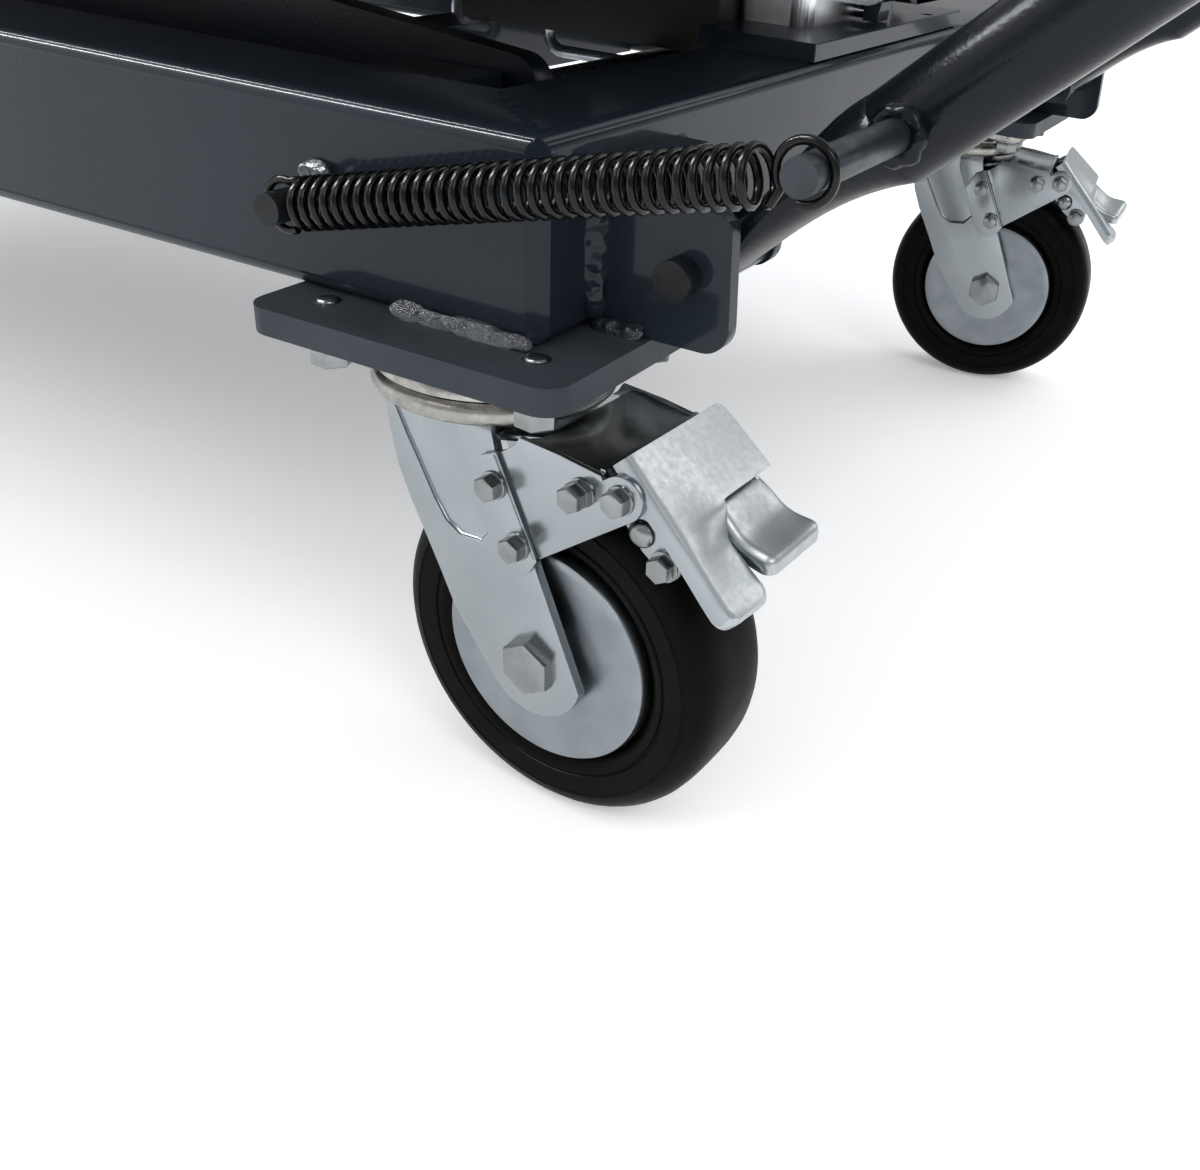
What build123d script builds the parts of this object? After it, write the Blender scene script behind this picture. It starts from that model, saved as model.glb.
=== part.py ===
"""Mobile scissor lift table with a foot pump, a sprung U handle and braked swivel casters.

Lengths are millimetres, Z points up and the floor is Z = 0. The handle end of the table is +X.
Left and right are as seen by a person at the handle who looks along the table, so left is -Y.
"""
import os
from math import atan2, cos, degrees, hypot, radians, sin, tan

from build123d import *

os.makedirs("parts", exist_ok=True)

# Base frame: mitred rectangular tube
FRAME_L = 1000.0
FRAME_W = 640.0
BEAM_W = 60.0
BEAM_H = 70.0
BEAM_WALL = 4.0
BEAM_R = 6.0
CORNER_CUT = 6.0

# Casters: 150 mm wheels, the swivel pair trailing outward at the handle end
WHEEL_D = 150.0
WHEEL_W = 47.0
TYRE_BORE_R = 49.0
AXLE_D = 12.0
TRAIL = 41.3
FORK_RISE = 119.0
FORK_GAP = 54.0
FORK_T = 4.5
PLATE_T = 5.0
PLATE_L = 114.0
PLATE_W = 100.0
PAD_T = 10.0
PAD_L = 132.0
PAD_W = 119.0
BOLT_DX = 45.0
BOLT_DY = 39.0
BOLT_D = 8.0
KINGPIN_IN_X = 42.0
KINGPIN_IN_Y = 33.0
SWIVEL_LEFT_DEG = -3.35
SWIVEL_RIGHT_DEG = 8.5

# Scissor arms: their pivots' distance from the frame's ends, and the arms' own size and rest slope
ARM_IN_X = 104.0
ROLLER_IN_X = 99.7
ARM_DEPTH = 60.0
ARM_T = 12.0
ARM_REST_DEG = 5.5
ARM_UP = 47.0
OUTER_ARM_IN_Y = 96.0
ARM_GAP = 4.0
PIVOT_D = 24.0
SHAFT_D = 20.0
ROLLER_D = 44.0
ROLLER_W = 20.0

# Deck, and its height above the upper arm pivots
DECK_OVER_PIVOT = 51.3
DECK_T = 4.0
SKIRT_H = 57.0

# Lift cylinder: its base pin ahead of the frame's middle, and the tube on the inner arms that it pushes
CYL_AHEAD = 129.3
CYL_UP = 19.0
CYL_OD = 60.0
CYL_BORE = 44.0
ROD_D = 30.0
PUSH_TUBE_D = 34.0
PUSH_TUBE_BACK = 65.0
PUSH_TUBE_ABOVE = 32.4

# Push handle, its hinge and its two springs
HANDLE_D = 32.0
HANDLE_WALL = 2.5
HANDLE_IN_Y = 64.0
HANDLE_TOP = 985.0
LEG_DEG = 41.2
LEG_L = 205.0
UPRIGHT_DEG = 83.0
BEND_R = 95.0
HINGE_OUT = 35.0
HINGE_UP = 25.5
HINGE_PIN_D = 10.0
EAR_T = 6.0
EAR_IN_Y = 33.0
SPRING_PIN_D = 11.0
SPRING_PIN_OUT = 97.5
SPRING_PIN_UP = 79.5
ANCHOR_IN_X = 92.7
ANCHOR_UP = 35.2
SPRING_OFF_Y = 14.0
SPRING_OD = 17.8
SPRING_WIRE = 2.9
SPRING_COILS = 35

# Foot pump
PUMP_W = 124.0
PEDAL_L = 230.0
PEDAL_RISE_DEG = 10.0

# Running clearance on the radius of each turning pin, and gap between pieces that pass each other
RUN = 0.05
GAP = 0.4

# Positions that follow from the sizes above
HX = FRAME_L / 2
HY = FRAME_W / 2
AXLE_Z = WHEEL_D / 2
PAD_BASE = AXLE_Z + FORK_RISE
PAD_TOP = PAD_BASE + PAD_T
BEAM_TOP = PAD_TOP + BEAM_H
KING_X = HX - KINGPIN_IN_X
KING_Y = HY - KINGPIN_IN_Y
PIVOT_X = HX - ARM_IN_X
PIVOT_Z = PAD_TOP + ARM_UP
ARM_RUN = FRAME_L - ARM_IN_X - ROLLER_IN_X
ARM_L = ARM_RUN / cos(radians(ARM_REST_DEG))
ARM_RISE = ARM_L * sin(radians(ARM_REST_DEG))
ROLLER_X = PIVOT_X - ARM_RUN
UPPER_Z = PIVOT_Z + ARM_RISE
OUTER_Y1 = HY - OUTER_ARM_IN_Y
OUTER_Y0 = OUTER_Y1 - ARM_T
INNER_Y1 = OUTER_Y0 - ARM_GAP
INNER_Y0 = INNER_Y1 - ARM_T
CYL_X = CYL_AHEAD
CYL_Z = PAD_TOP + CYL_UP
PUSH_TUBE_ALONG = ARM_L / 2 - PUSH_TUBE_BACK
arm_cos = cos(radians(ARM_REST_DEG))
arm_sin = sin(radians(ARM_REST_DEG))
CYL_REACH = CYL_X - ROLLER_X - PUSH_TUBE_ALONG * arm_cos + PUSH_TUBE_ABOVE * arm_sin
CYL_CLIMB = PIVOT_Z + PUSH_TUBE_ALONG * arm_sin + PUSH_TUBE_ABOVE * arm_cos - CYL_Z
CYL_CLOSED = hypot(CYL_REACH, CYL_CLIMB)
CYL_REST_DEG = degrees(atan2(CYL_CLIMB, CYL_REACH))
HINGE_X = HX + HINGE_OUT
HINGE_Z = PAD_TOP + HINGE_UP
LEG_Y = HY - HANDLE_IN_Y
EAR_Y1 = HY - EAR_IN_Y
EAR_Y0 = EAR_Y1 - EAR_T
SPRING_Y = HY + SPRING_OFF_Y
ANCHOR_X = HX - ANCHOR_IN_X
ANCHOR_Z = PAD_TOP + ANCHOR_UP
SPRING_PIN_X = HX + SPRING_PIN_OUT
SPRING_PIN_Z = PAD_TOP + SPRING_PIN_UP
DECK_TOP = UPPER_Z + DECK_OVER_PIVOT
DECK_UNDER = DECK_TOP - DECK_T
SKIRT_Z = DECK_TOP - SKIRT_H
PUMP_X = HX - 62.0
PUMP_Z = BEAM_TOP + 8.0
PEDAL_X = HX - 14.0
PEDAL_Z = BEAM_TOP + 26.0

PIECES = {}


def block(x0, x1, y0, y1, z0, z1):
    """Box between two corners."""
    return Pos((x0 + x1) / 2, (y0 + y1) / 2, (z0 + z1) / 2) * Box(x1 - x0, y1 - y0, z1 - z0)


def bar_x(x0, x1, y, z, r):
    """Round bar along X."""
    return Pos((x0 + x1) / 2, y, z) * Rot(0, 90, 0) * Cylinder(r, abs(x1 - x0))


def bar_y(x, y0, y1, z, r):
    """Round bar along Y."""
    return Pos(x, (y0 + y1) / 2, z) * Rot(90, 0, 0) * Cylinder(r, abs(y1 - y0))


def bar_z(x, y, z0, z1, r):
    """Round bar along Z."""
    return Pos(x, y, (z0 + z1) / 2) * Cylinder(r, abs(z1 - z0))


def hex_y(x, y0, y1, z, across):
    """Hexagon bar along Y, given its width across the flats."""
    face = RegularPolygon(across / 2, 6, major_radius=False)
    return Pos(x, (y0 + y1) / 2, z) * Rot(90, 0, 0) * extrude(face, abs(y1 - y0) / 2, both=True)


def hex_z(x, y, z0, z1, across):
    """Hexagon bar along Z, given its width across the flats."""
    face = RegularPolygon(across / 2, 6, major_radius=False)
    return Pos(x, y, (z0 + z1) / 2) * extrude(face, abs(z1 - z0) / 2, both=True)


def outline(corners):
    """Closed face from (a, b, radius) corners, each one rounded by its own radius."""
    turns = []
    count = len(corners)
    for i in range(count):
        here = Vector(corners[i][0], corners[i][1])
        back = (Vector(corners[i - 1][0], corners[i - 1][1]) - here).normalized()
        ahead_corner = corners[(i + 1) % count]
        ahead = (Vector(ahead_corner[0], ahead_corner[1]) - here).normalized()
        radius = corners[i][2]
        if radius == 0:
            turns.append((here, here, here))
            continue
        half = radians(back.get_angle(ahead)) / 2
        reach = radius / tan(half)
        middle = here + (back + ahead).normalized() * (radius / sin(half) - radius)
        turns.append((here + back * reach, middle, here + ahead * reach))
    edges = []
    for i in range(count):
        start, middle, end = turns[i]
        if (end - start).length > 1e-6:
            edges.append(ThreePointArc(start, middle, end))
        following = turns[(i + 1) % count][0]
        if (following - end).length > 1e-6:
            edges.append(Line(end, following))
    return make_face(edges)


def sharp(points):
    """Closed face from plain (a, b) corners."""
    return outline([(a, b, 0) for a, b in points])


def plate_xz(face, y0, y1):
    """Plate across Y from a face drawn in X and Z."""
    return extrude(Plane.XZ.offset(-y1) * face, y1 - y0, dir=(0, -1, 0))


def plate_xy(face, z0, z1):
    """Plate up Z from a face drawn in X and Y."""
    return extrude(Pos(0, 0, z0) * face, z1 - z0, dir=(0, 0, 1))


def strip(points, thick):
    """Face of a bent strip that follows a line of points at a constant thickness."""
    left = []
    right = []
    for i, (a, b) in enumerate(points):
        here = Vector(a, b)
        before = Vector(*points[max(i - 1, 0)])
        after = Vector(*points[min(i + 1, len(points) - 1)])
        into = (here - before).normalized() if i > 0 else (after - here).normalized()
        out = (after - here).normalized() if i < len(points) - 1 else into
        along = (into + out).normalized()
        side = Vector(-along.Y, along.X) * (thick / 2 / along.dot(into))
        left.append(((here + side).X, (here + side).Y))
        right.append(((here - side).X, (here - side).Y))
    return sharp(left + right[::-1])


def both_sides(shape):
    """The shape and its mirror image across the table's middle plane."""
    return [shape, mirror(shape, about=Plane.XZ)]


def group(shapes):
    """One piece made of separate solids."""
    solids = []
    for shape in shapes:
        solids.extend(shape.solids())
    return Compound(solids)


def bend_path(points, radius):
    """Wire through the points with every inner corner rounded."""
    corners = [Vector(*p) for p in points]
    edges = []
    start = corners[0]
    for i in range(1, len(corners) - 1):
        here = corners[i]
        back = (corners[i - 1] - here).normalized()
        ahead = (corners[i + 1] - here).normalized()
        half = radians(back.get_angle(ahead)) / 2
        reach = radius / tan(half)
        arc_start = here + back * reach
        arc_end = here + ahead * reach
        middle = here + (back + ahead).normalized() * (radius / sin(half) - radius)
        edges.append(Line(start, arc_start))
        edges.append(ThreePointArc(arc_start, middle, arc_end))
        start = arc_end
    edges.append(Line(start, corners[-1]))
    return Wire(edges)


def pipe_along(path, outer_r, inner_r):
    """Round tube along a wire."""
    ring = Circle(outer_r) - Circle(inner_r)
    return sweep(Plane(origin=path @ 0, z_dir=path % 0) * ring, path=path)


# Base frame. Four lengths of rectangular tube meet at mitred corners, whose outer edge is ground flat.
section = RectangleRounded(BEAM_W, BEAM_H, BEAM_R)
section -= RectangleRounded(BEAM_W - 2 * BEAM_WALL, BEAM_H - 2 * BEAM_WALL, BEAM_R - BEAM_WALL)
beam_mid_z = PAD_TOP + BEAM_H / 2
corner_mid = CORNER_CUT / 2
side_half = [(HX - CORNER_CUT, HY), (HX - corner_mid, HY - corner_mid), (HX - BEAM_W, HY - BEAM_W)]
side_mitre = sharp(side_half + [(-x, y) for x, y in side_half[::-1]])
end_half = [(HX, HY - CORNER_CUT), (HX - corner_mid, HY - corner_mid), (HX - BEAM_W, HY - BEAM_W)]
end_mitre = sharp(end_half + [(x, -y) for x, y in end_half[::-1]])
right_beam = extrude(Plane.YZ * Pos(HY - BEAM_W / 2, beam_mid_z) * section, HX, both=True)
right_beam &= plate_xy(side_mitre, PAD_TOP - 1, BEAM_TOP + 1)
handle_beam = extrude(Plane.XZ * Pos(HX - BEAM_W / 2, beam_mid_z) * section, HY, both=True)
handle_beam &= plate_xy(end_mitre, PAD_TOP - 1, BEAM_TOP + 1)
PIECES["right_side_beam"] = right_beam
PIECES["left_side_beam"] = mirror(right_beam, about=Plane.XZ)
PIECES["handle_end_beam"] = handle_beam
PIECES["far_end_beam"] = mirror(handle_beam, about=Plane.YZ)

# Cross member under the lift cylinder, with its two lugs and the cylinder's base pin.
CROSS_X0 = CYL_X + 16.0
CROSS_Y = HY - BEAM_W
cross_tube = block(CROSS_X0, CROSS_X0 + 40, -CROSS_Y, CROSS_Y, PAD_TOP, PAD_TOP + 36)
cross_tube -= block(CROSS_X0 + 3, CROSS_X0 + 37, -CROSS_Y, CROSS_Y, PAD_TOP + 3, PAD_TOP + 33)
lug = plate_xz(Pos(CYL_X, CYL_Z) * Circle(17), 16, 22)
lug += block(CYL_X, CROSS_X0, 16, 22, CYL_Z - 17, CYL_Z + 14)
cylinder_pin = bar_y(CYL_X, -27, 27, CYL_Z, 8)
PIECES["cross_member"] = cross_tube + both_sides(lug) + cylinder_pin

# Caster pads: thick plates under the four corners, tapped for the caster bolts.
bolt_spots = [(a * BOLT_DX, b * BOLT_DY) for a in (-1, 1) for b in (-1, 1)]
corner_spots = [(a * KING_X, b * KING_Y) for a in (-1, 1) for b in (-1, 1)]
pad = plate_xy(RectangleRounded(PAD_L, PAD_W, 10), PAD_BASE, PAD_TOP)
for bx, by in bolt_spots:
    pad -= bar_z(bx, by, PAD_BASE, PAD_TOP, BOLT_D / 2)
PIECES["caster_pads"] = group([Pos(x, y, 0) * pad for x, y in corner_spots])

# Caster bolts, put in from below, their tips level with the top of the pads.
plate_z = PAD_BASE - PLATE_T
bolt = bar_z(0, 0, plate_z, PAD_TOP, BOLT_D / 2)
bolt += bar_z(0, 0, plate_z - 1.6, plate_z, BOLT_D)
bolt += hex_z(0, 0, plate_z - 6.9, plate_z - 1.6, 13)
PIECES["caster_bolts"] = group([Pos(x + a, y + b, 0) * bolt for x, y in corner_spots for a, b in bolt_spots])

# Swivel caster plates with the upper ball race and the kingpin that the fork turns on.
caster_plate = plate_xy(RectangleRounded(PLATE_L, PLATE_W, 10), plate_z, PAD_BASE)
for bx, by in bolt_spots:
    caster_plate -= bar_z(bx, by, plate_z, PAD_BASE, BOLT_D / 2 + 0.5)
CROWN_TOP = AXLE_Z + FORK_RISE - 27.0
CROWN_T = 5.0
CUP_R = 39.0
RACE_Z = plate_z - 7.0
swivel_plate = caster_plate + bar_z(0, 0, RACE_Z, plate_z, CUP_R - 5)
swivel_plate += bar_z(0, 0, CROWN_TOP - CROWN_T - 8, RACE_Z, 8)
swivel_plate += hex_z(0, 0, CROWN_TOP - CROWN_T - 7.3, CROWN_TOP - CROWN_T - 0.3, 20)
PIECES["swivel_plates"] = group([Pos(KING_X, y, 0) * swivel_plate for y in (-KING_Y, KING_Y)])

# Fixed caster forks at the far end, with their axle bolts.
LEG_Y0 = FORK_GAP / 2
LEG_Y1 = LEG_Y0 + FORK_T
BOSS_R = 23.2
fixed_leg = sharp([(-38, FORK_RISE - PLATE_T), (-BOSS_R, 0), (BOSS_R, 0), (38, FORK_RISE - PLATE_T)])
fixed_leg += Circle(BOSS_R)
fixed_leg = plate_xz(fixed_leg, LEG_Y0, LEG_Y1) - bar_y(0, LEG_Y0, LEG_Y1, 0, AXLE_D / 2)
fixed_fork = caster_plate + [Pos(0, 0, AXLE_Z) * leg for leg in both_sides(fixed_leg)]
PIECES["fixed_forks"] = group([Pos(-KING_X, y, 0) * fixed_fork for y in (-KING_Y, KING_Y)])
axle = bar_y(0, -LEG_Y1, LEG_Y1, 0, AXLE_D / 2)
for end in (-1, 1):
    axle += bar_y(0, end * LEG_Y1, end * (LEG_Y1 + 1.5), 0, AXLE_D)
    axle += hex_y(0, end * (LEG_Y1 + 1.5), end * (LEG_Y1 + 7.5), 0, 17)
PIECES["fixed_axles"] = group([Pos(-KING_X, y, AXLE_Z) * axle for y in (-KING_Y, KING_Y)])

# One wheel about its own axle: a solid rubber tyre on a hub with a dished zinc disc each side.
wheel_r = WHEEL_D / 2
half_w = WHEEL_W / 2
tyre_half = [(TYRE_BORE_R, half_w - 3.5), (wheel_r - 19, half_w - 0.7), (wheel_r - 12, half_w)]
tyre_half += [(wheel_r - 6, half_w - 1.5), (wheel_r - 1.5, half_w - 6.5), (wheel_r, half_w - 14.5)]
tyre_face = sharp([(r, -y) for r, y in tyre_half] + tyre_half[::-1])
tyre = revolve(tyre_face, Axis.Y)
hub_half = [(AXLE_D / 2 + RUN, LEG_Y0 - 0.6), (14, LEG_Y0 - 0.6), (17, half_w + 1.7), (40, half_w + 0.9)]
hub_half += [(TYRE_BORE_R - 2.5, half_w + 0.1), (TYRE_BORE_R, half_w - 3.5)]
hub_face = sharp([(r, -y) for r, y in hub_half] + hub_half[::-1])
hub = revolve(hub_face, Axis.Y)

# Swivel fork about the axle: race cup, crown and two sloping legs.
crown_z = CROWN_TOP - AXLE_Z
CROWN_X0 = -69.4
CROWN_X1 = -17.5
FRONT_SLOPE = 0.413


def leg_front(z):
    """Front edge of the fork leg at a height above the axle."""
    return CROWN_X1 + (crown_z - z) * FRONT_SLOPE


leg_corners = [(CROWN_X0, crown_z), (-65, crown_z - 26), (-38.2, 10), (-15, -17.7), (leg_front(-5), -5)]
leg_corners += [(CROWN_X1, crown_z)]
swivel_leg = plate_xz(sharp(leg_corners) + Circle(BOSS_R), LEG_Y0, LEG_Y1)
HOUSE_BOLTS = [(-17, 72.5), (-6, 49.5), (16.8, 80)]
PEDAL_PIVOT = (36.5, 83.5)
for x, z in HOUSE_BOLTS[:2]:
    swivel_leg -= bar_y(x, LEG_Y0, LEG_Y1, z, 3)
swivel_leg -= bar_y(0, LEG_Y0, LEG_Y1, 0, AXLE_D / 2)
fork = block(CROWN_X0, CROWN_X1, -LEG_Y1, LEG_Y1, crown_z - CROWN_T, crown_z)
fork += both_sides(swivel_leg)
fork += bar_z(-TRAIL, 0, crown_z, RACE_Z - AXLE_Z - 0.3, CUP_R)
fork -= bar_z(-TRAIL, 0, crown_z - CROWN_T, RACE_Z - AXLE_Z, 8 + RUN)

# Brake housing: on each side a tab bolted to the fork leg, stepped in to a panel beside the wheel.
HOUSE_Y1 = LEG_Y1 + 2.5
PANEL_Y0 = LEG_Y0 + 0.2
PANEL_Y1 = PANEL_Y0 + 2.5
STEP_T = 2.5
HOUSE_END_R = 8.4
house_corners = [(-13, 88.2, 0), (-6.4, 94.2, 2), (28.5, 90.9, 0), (36.5, 83.5, 0), (41.7, 76.9, 0)]
house_corners += [(3.7, 47.4, 0), (-7.5, 37.8, 6), (-15.5, 42, 6), (-27.4, 70, 8), (-24.5, 83, 6)]
house_face = outline(house_corners) + Pos(*PEDAL_PIVOT) * Circle(HOUSE_END_R)
front_gap = leg_front(0) + GAP
front_top = leg_front(100) + GAP
beside_leg = sharp([(front_top, 100), (front_gap, 0), (70, 0), (70, 100)])
panel_face = house_face & beside_leg
step_face = panel_face - Pos(STEP_T, 0) * beside_leg
tab_face = house_face - beside_leg
house_side = plate_xz(tab_face, LEG_Y1, HOUSE_Y1) + plate_xz(step_face, PANEL_Y0, HOUSE_Y1)
house_side += plate_xz(panel_face, PANEL_Y0, PANEL_Y1)
for x, z in HOUSE_BOLTS:
    house_side -= bar_y(x, PANEL_Y0, HOUSE_Y1, z, 3)
house_side -= bar_y(PEDAL_PIVOT[0], PANEL_Y0, HOUSE_Y1, PEDAL_PIVOT[1], 4)
housing = both_sides(house_side)[0] + both_sides(house_side)[1]
web_x0 = CUP_R - TRAIL + GAP
web_corners = [(web_x0, 93.7), (28.5, 90.9), (28.5, 88.4), (web_x0, 91.2)]
housing += plate_xz(sharp(web_corners), -PANEL_Y1, PANEL_Y1)

# Fork fasteners: axle bolt, housing screws and the bolt that the lock pedal turns on.
fork_bolts = [axle]
for x, z in HOUSE_BOLTS:
    seat_y = HOUSE_Y1 if x < 0 else PANEL_Y1
    screw = bar_y(x, PANEL_Y0, seat_y, z, 3) + hex_y(x, seat_y, seat_y + 4.5, z, 12)
    fork_bolts.extend(both_sides(screw))
pivot_bolt = bar_y(PEDAL_PIVOT[0], -PANEL_Y1, PANEL_Y1, PEDAL_PIVOT[1], 4)
for end in (-1, 1):
    pivot_bolt += hex_y(PEDAL_PIVOT[0], end * PANEL_Y1, end * (PANEL_Y1 + 5), PEDAL_PIVOT[1], 13)
fork_bolts.append(pivot_bolt)
fasteners = group(fork_bolts)

# Lock pedal: two cheeks on the pivot bolt, a broad tread plate and a pressing lobe on one half.
CHEEK_Y1 = PANEL_Y0 - 0.6
CHEEK_Y0 = CHEEK_Y1 - 2.2
TREAD_Y = LEG_Y1
RELEASE_PIVOT = (54.5, 63.0)
cheek_corners = [(33.5, 77.5, 0), (33.5, 89.5, 0), (40.5, 97.5, 0), (62.5, 79.3, 0), (61, 57.5, 5), (50, 57.5, 5)]
cheek_face = outline(cheek_corners) + Pos(*PEDAL_PIVOT) * Circle(HOUSE_END_R - 0.8)
cheek = plate_xz(cheek_face, CHEEK_Y0, CHEEK_Y1)
cheek -= bar_y(PEDAL_PIVOT[0], CHEEK_Y0, CHEEK_Y1, PEDAL_PIVOT[1], 4 + RUN)
tread_line = [(40, 99.3), (63, 80.3)]
lobe_line = tread_line + [(67.5, 69), (72.5, 59.5), (82.5, 49)]
lock_pedal = both_sides(cheek)[0] + both_sides(cheek)[1]
lock_pedal += plate_xz(strip(tread_line, 3), -TREAD_Y, TREAD_Y)
lock_pedal += plate_xz(strip(lobe_line, 3), -TREAD_Y, -3)
lock_pedal += bar_y(RELEASE_PIVOT[0], -CHEEK_Y1, CHEEK_Y1, RELEASE_PIVOT[1], 3)

# Release lever: an eye on the pedal's cross pin and a lip that stands out under the other half.
lever_y1 = CHEEK_Y0 - GAP
lever_eye = sharp([(50.4, 63), (58.6, 63), (62, 73.4), (55, 74)]) + Pos(*RELEASE_PIVOT) * Circle(4.2)
release_lever = plate_xz(lever_eye, 6, lever_y1)
lip_line = [(55, 74), (66.5, 73.4), (74, 69), (87.5, 66.5), (89, 60)]
release_lever += plate_xz(strip(lip_line, 2.5), 1, lever_y1)
release_lever -= bar_y(RELEASE_PIVOT[0], 1, lever_y1, RELEASE_PIVOT[1], 3 + RUN)


def swivel_place(side):
    """Place of a swivel caster's axle centre, turned about its kingpin."""
    turn = SWIVEL_LEFT_DEG if side < 0 else SWIVEL_RIGHT_DEG
    return Pos(KING_X, side * KING_Y, AXLE_Z) * Rot(0, 0, turn) * Pos(TRAIL, 0, 0)


for side, name in ((-1, "left"), (1, "right")):
    PIECES[name + "_fork"] = swivel_place(side) * fork
    PIECES[name + "_brake_housing"] = swivel_place(side) * housing
    PIECES[name + "_fork_bolts"] = swivel_place(side) * fasteners
    PIECES[name + "_swivel_tyre"] = swivel_place(side) * tyre
    PIECES[name + "_swivel_hub"] = swivel_place(side) * hub
    PIECES[name + "_lock_pedal"] = swivel_place(side) * lock_pedal
    PIECES[name + "_release_lever"] = swivel_place(side) * release_lever
    PIECES[name + "_fixed_tyre"] = Pos(-KING_X, side * KING_Y, AXLE_Z) * tyre
    PIECES[name + "_fixed_hub"] = Pos(-KING_X, side * KING_Y, AXLE_Z) * hub

# Lugs on the side beams that carry the lower arm pivots, and the tracks of the lower rollers.
lug_y0 = OUTER_Y1 + 4
pivot_lug = block(PIVOT_X - 22, PIVOT_X + 22, lug_y0, HY - BEAM_W, PIVOT_Z - 26, PIVOT_Z + 21)
pivot_lug -= bar_y(PIVOT_X, lug_y0, HY - BEAM_W - 4, PIVOT_Z, PIVOT_D / 2 + RUN)
PIECES["arm_pivot_lugs"] = group(both_sides(pivot_lug))
track_top = PIVOT_Z - ROLLER_D / 2 - 0.3
track_x0 = BEAM_W - HX
track_x1 = ROLLER_X + ARM_RUN * 0.35
track = block(track_x0, track_x1, OUTER_Y1 + 2, HY - BEAM_W, track_top - 6, track_top)
track += block(track_x0, track_x1, HY - BEAM_W - 5, HY - BEAM_W, PAD_TOP + 3, track_top - 6)
PIECES["roller_tracks"] = group(both_sides(track))

# Arm plates drawn level about one end pivot, then tilted into place.
arm_end = 34.0
arm_half = ARM_DEPTH / 2
arm_corners = [(-arm_end, -arm_half, 12), (ARM_L + arm_end, -arm_half, 12)]
arm_corners += [(ARM_L + arm_end, arm_half, 12), (-arm_end, arm_half, 12)]
arm_blank = outline(arm_corners)
inner_place = Pos(ROLLER_X, 0, PIVOT_Z) * Rot(0, -ARM_REST_DEG, 0)
outer_place = Pos(PIVOT_X, 0, PIVOT_Z) * Rot(0, ARM_REST_DEG, 0)
outer_arm = plate_xz(arm_blank, OUTER_Y0, OUTER_Y1)
outer_arm -= bar_y(0, OUTER_Y0, OUTER_Y1, 0, PIVOT_D / 2)
outer_arm -= bar_y(ARM_L / 2, OUTER_Y0, OUTER_Y1, 0, PIVOT_D / 2)
outer_arm -= bar_y(ARM_L, OUTER_Y0, OUTER_Y1, 0, SHAFT_D / 2)
outer_arm = mirror(outer_arm, about=Plane.YZ)
PIECES["outer_arms"] = outer_place * group(both_sides(outer_arm))
inner_arm = plate_xz(arm_blank, INNER_Y0, INNER_Y1)
inner_arm -= bar_y(0, INNER_Y0, INNER_Y1, 0, SHAFT_D / 2)
inner_arm -= bar_y(ARM_L / 2, INNER_Y0, INNER_Y1, 0, PIVOT_D / 2 + RUN)
inner_arm -= bar_y(ARM_L, INNER_Y0, INNER_Y1, 0, SHAFT_D / 2)
PIECES["inner_arms"] = inner_place * group(both_sides(inner_arm))

# Shafts that join each pair of arms. The roller shafts run on past the arms as axles.
roller_y0 = OUTER_Y1 + 5
roller_y1 = roller_y0 + ROLLER_W
shaft_end = roller_y1 + 3
low_shaft = bar_y(PIVOT_X, 6 + BEAM_W - HY, HY - BEAM_W - 6, PIVOT_Z, PIVOT_D / 2)
high_shaft = bar_y(ROLLER_X, -shaft_end, shaft_end, UPPER_Z, SHAFT_D / 2)
PIECES["outer_shafts"] = group([low_shaft, high_shaft])
centre_x = PIVOT_X - ARM_RUN / 2
centre_z = PIVOT_Z + ARM_RISE / 2
centre_pin = bar_y(centre_x, INNER_Y0 - GAP, OUTER_Y1 + 2, centre_z, PIVOT_D / 2)
centre_pin += bar_y(centre_x, INNER_Y0 - GAP - 4, INNER_Y0 - GAP, centre_z, PIVOT_D / 2 + 5)
PIECES["centre_pins"] = group(both_sides(centre_pin))
roll_shaft = bar_y(0, -shaft_end, shaft_end, 0, SHAFT_D / 2)
deck_shaft = bar_y(ARM_L, -INNER_Y1, INNER_Y1, 0, SHAFT_D / 2)
push_tube = bar_y(PUSH_TUBE_ALONG, -INNER_Y0, INNER_Y0, PUSH_TUBE_ABOVE, PUSH_TUBE_D / 2)
push_tube -= bar_y(PUSH_TUBE_ALONG, -INNER_Y0, INNER_Y0, PUSH_TUBE_ABOVE, PUSH_TUBE_D / 2 - 5)
tube_lug = [(PUSH_TUBE_ALONG - 34, 4, 6), (PUSH_TUBE_ALONG + 34, 4, 6)]
tube_lug += [(PUSH_TUBE_ALONG + 24, PUSH_TUBE_ABOVE + 24, 18), (PUSH_TUBE_ALONG - 24, PUSH_TUBE_ABOVE + 24, 18)]
for cheek_plate in both_sides(plate_xz(outline(tube_lug), INNER_Y0 - 10, INNER_Y0)):
    push_tube += cheek_plate
PIECES["inner_shafts"] = inner_place * group([roll_shaft, deck_shaft, push_tube])

# Four nylon rollers, two on the base tracks and two under the deck.
roller = bar_y(0, roller_y0, roller_y1, 0, ROLLER_D / 2) - bar_y(0, roller_y0, roller_y1, 0, SHAFT_D / 2 + RUN)
for side, name in ((-1, "left"), (1, "right")):
    one = roller if side > 0 else mirror(roller, about=Plane.XZ)
    PIECES[name + "_lower_roller"] = Pos(ROLLER_X, 0, PIVOT_Z) * one
    PIECES[name + "_upper_roller"] = Pos(ROLLER_X, 0, UPPER_Z) * one

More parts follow.
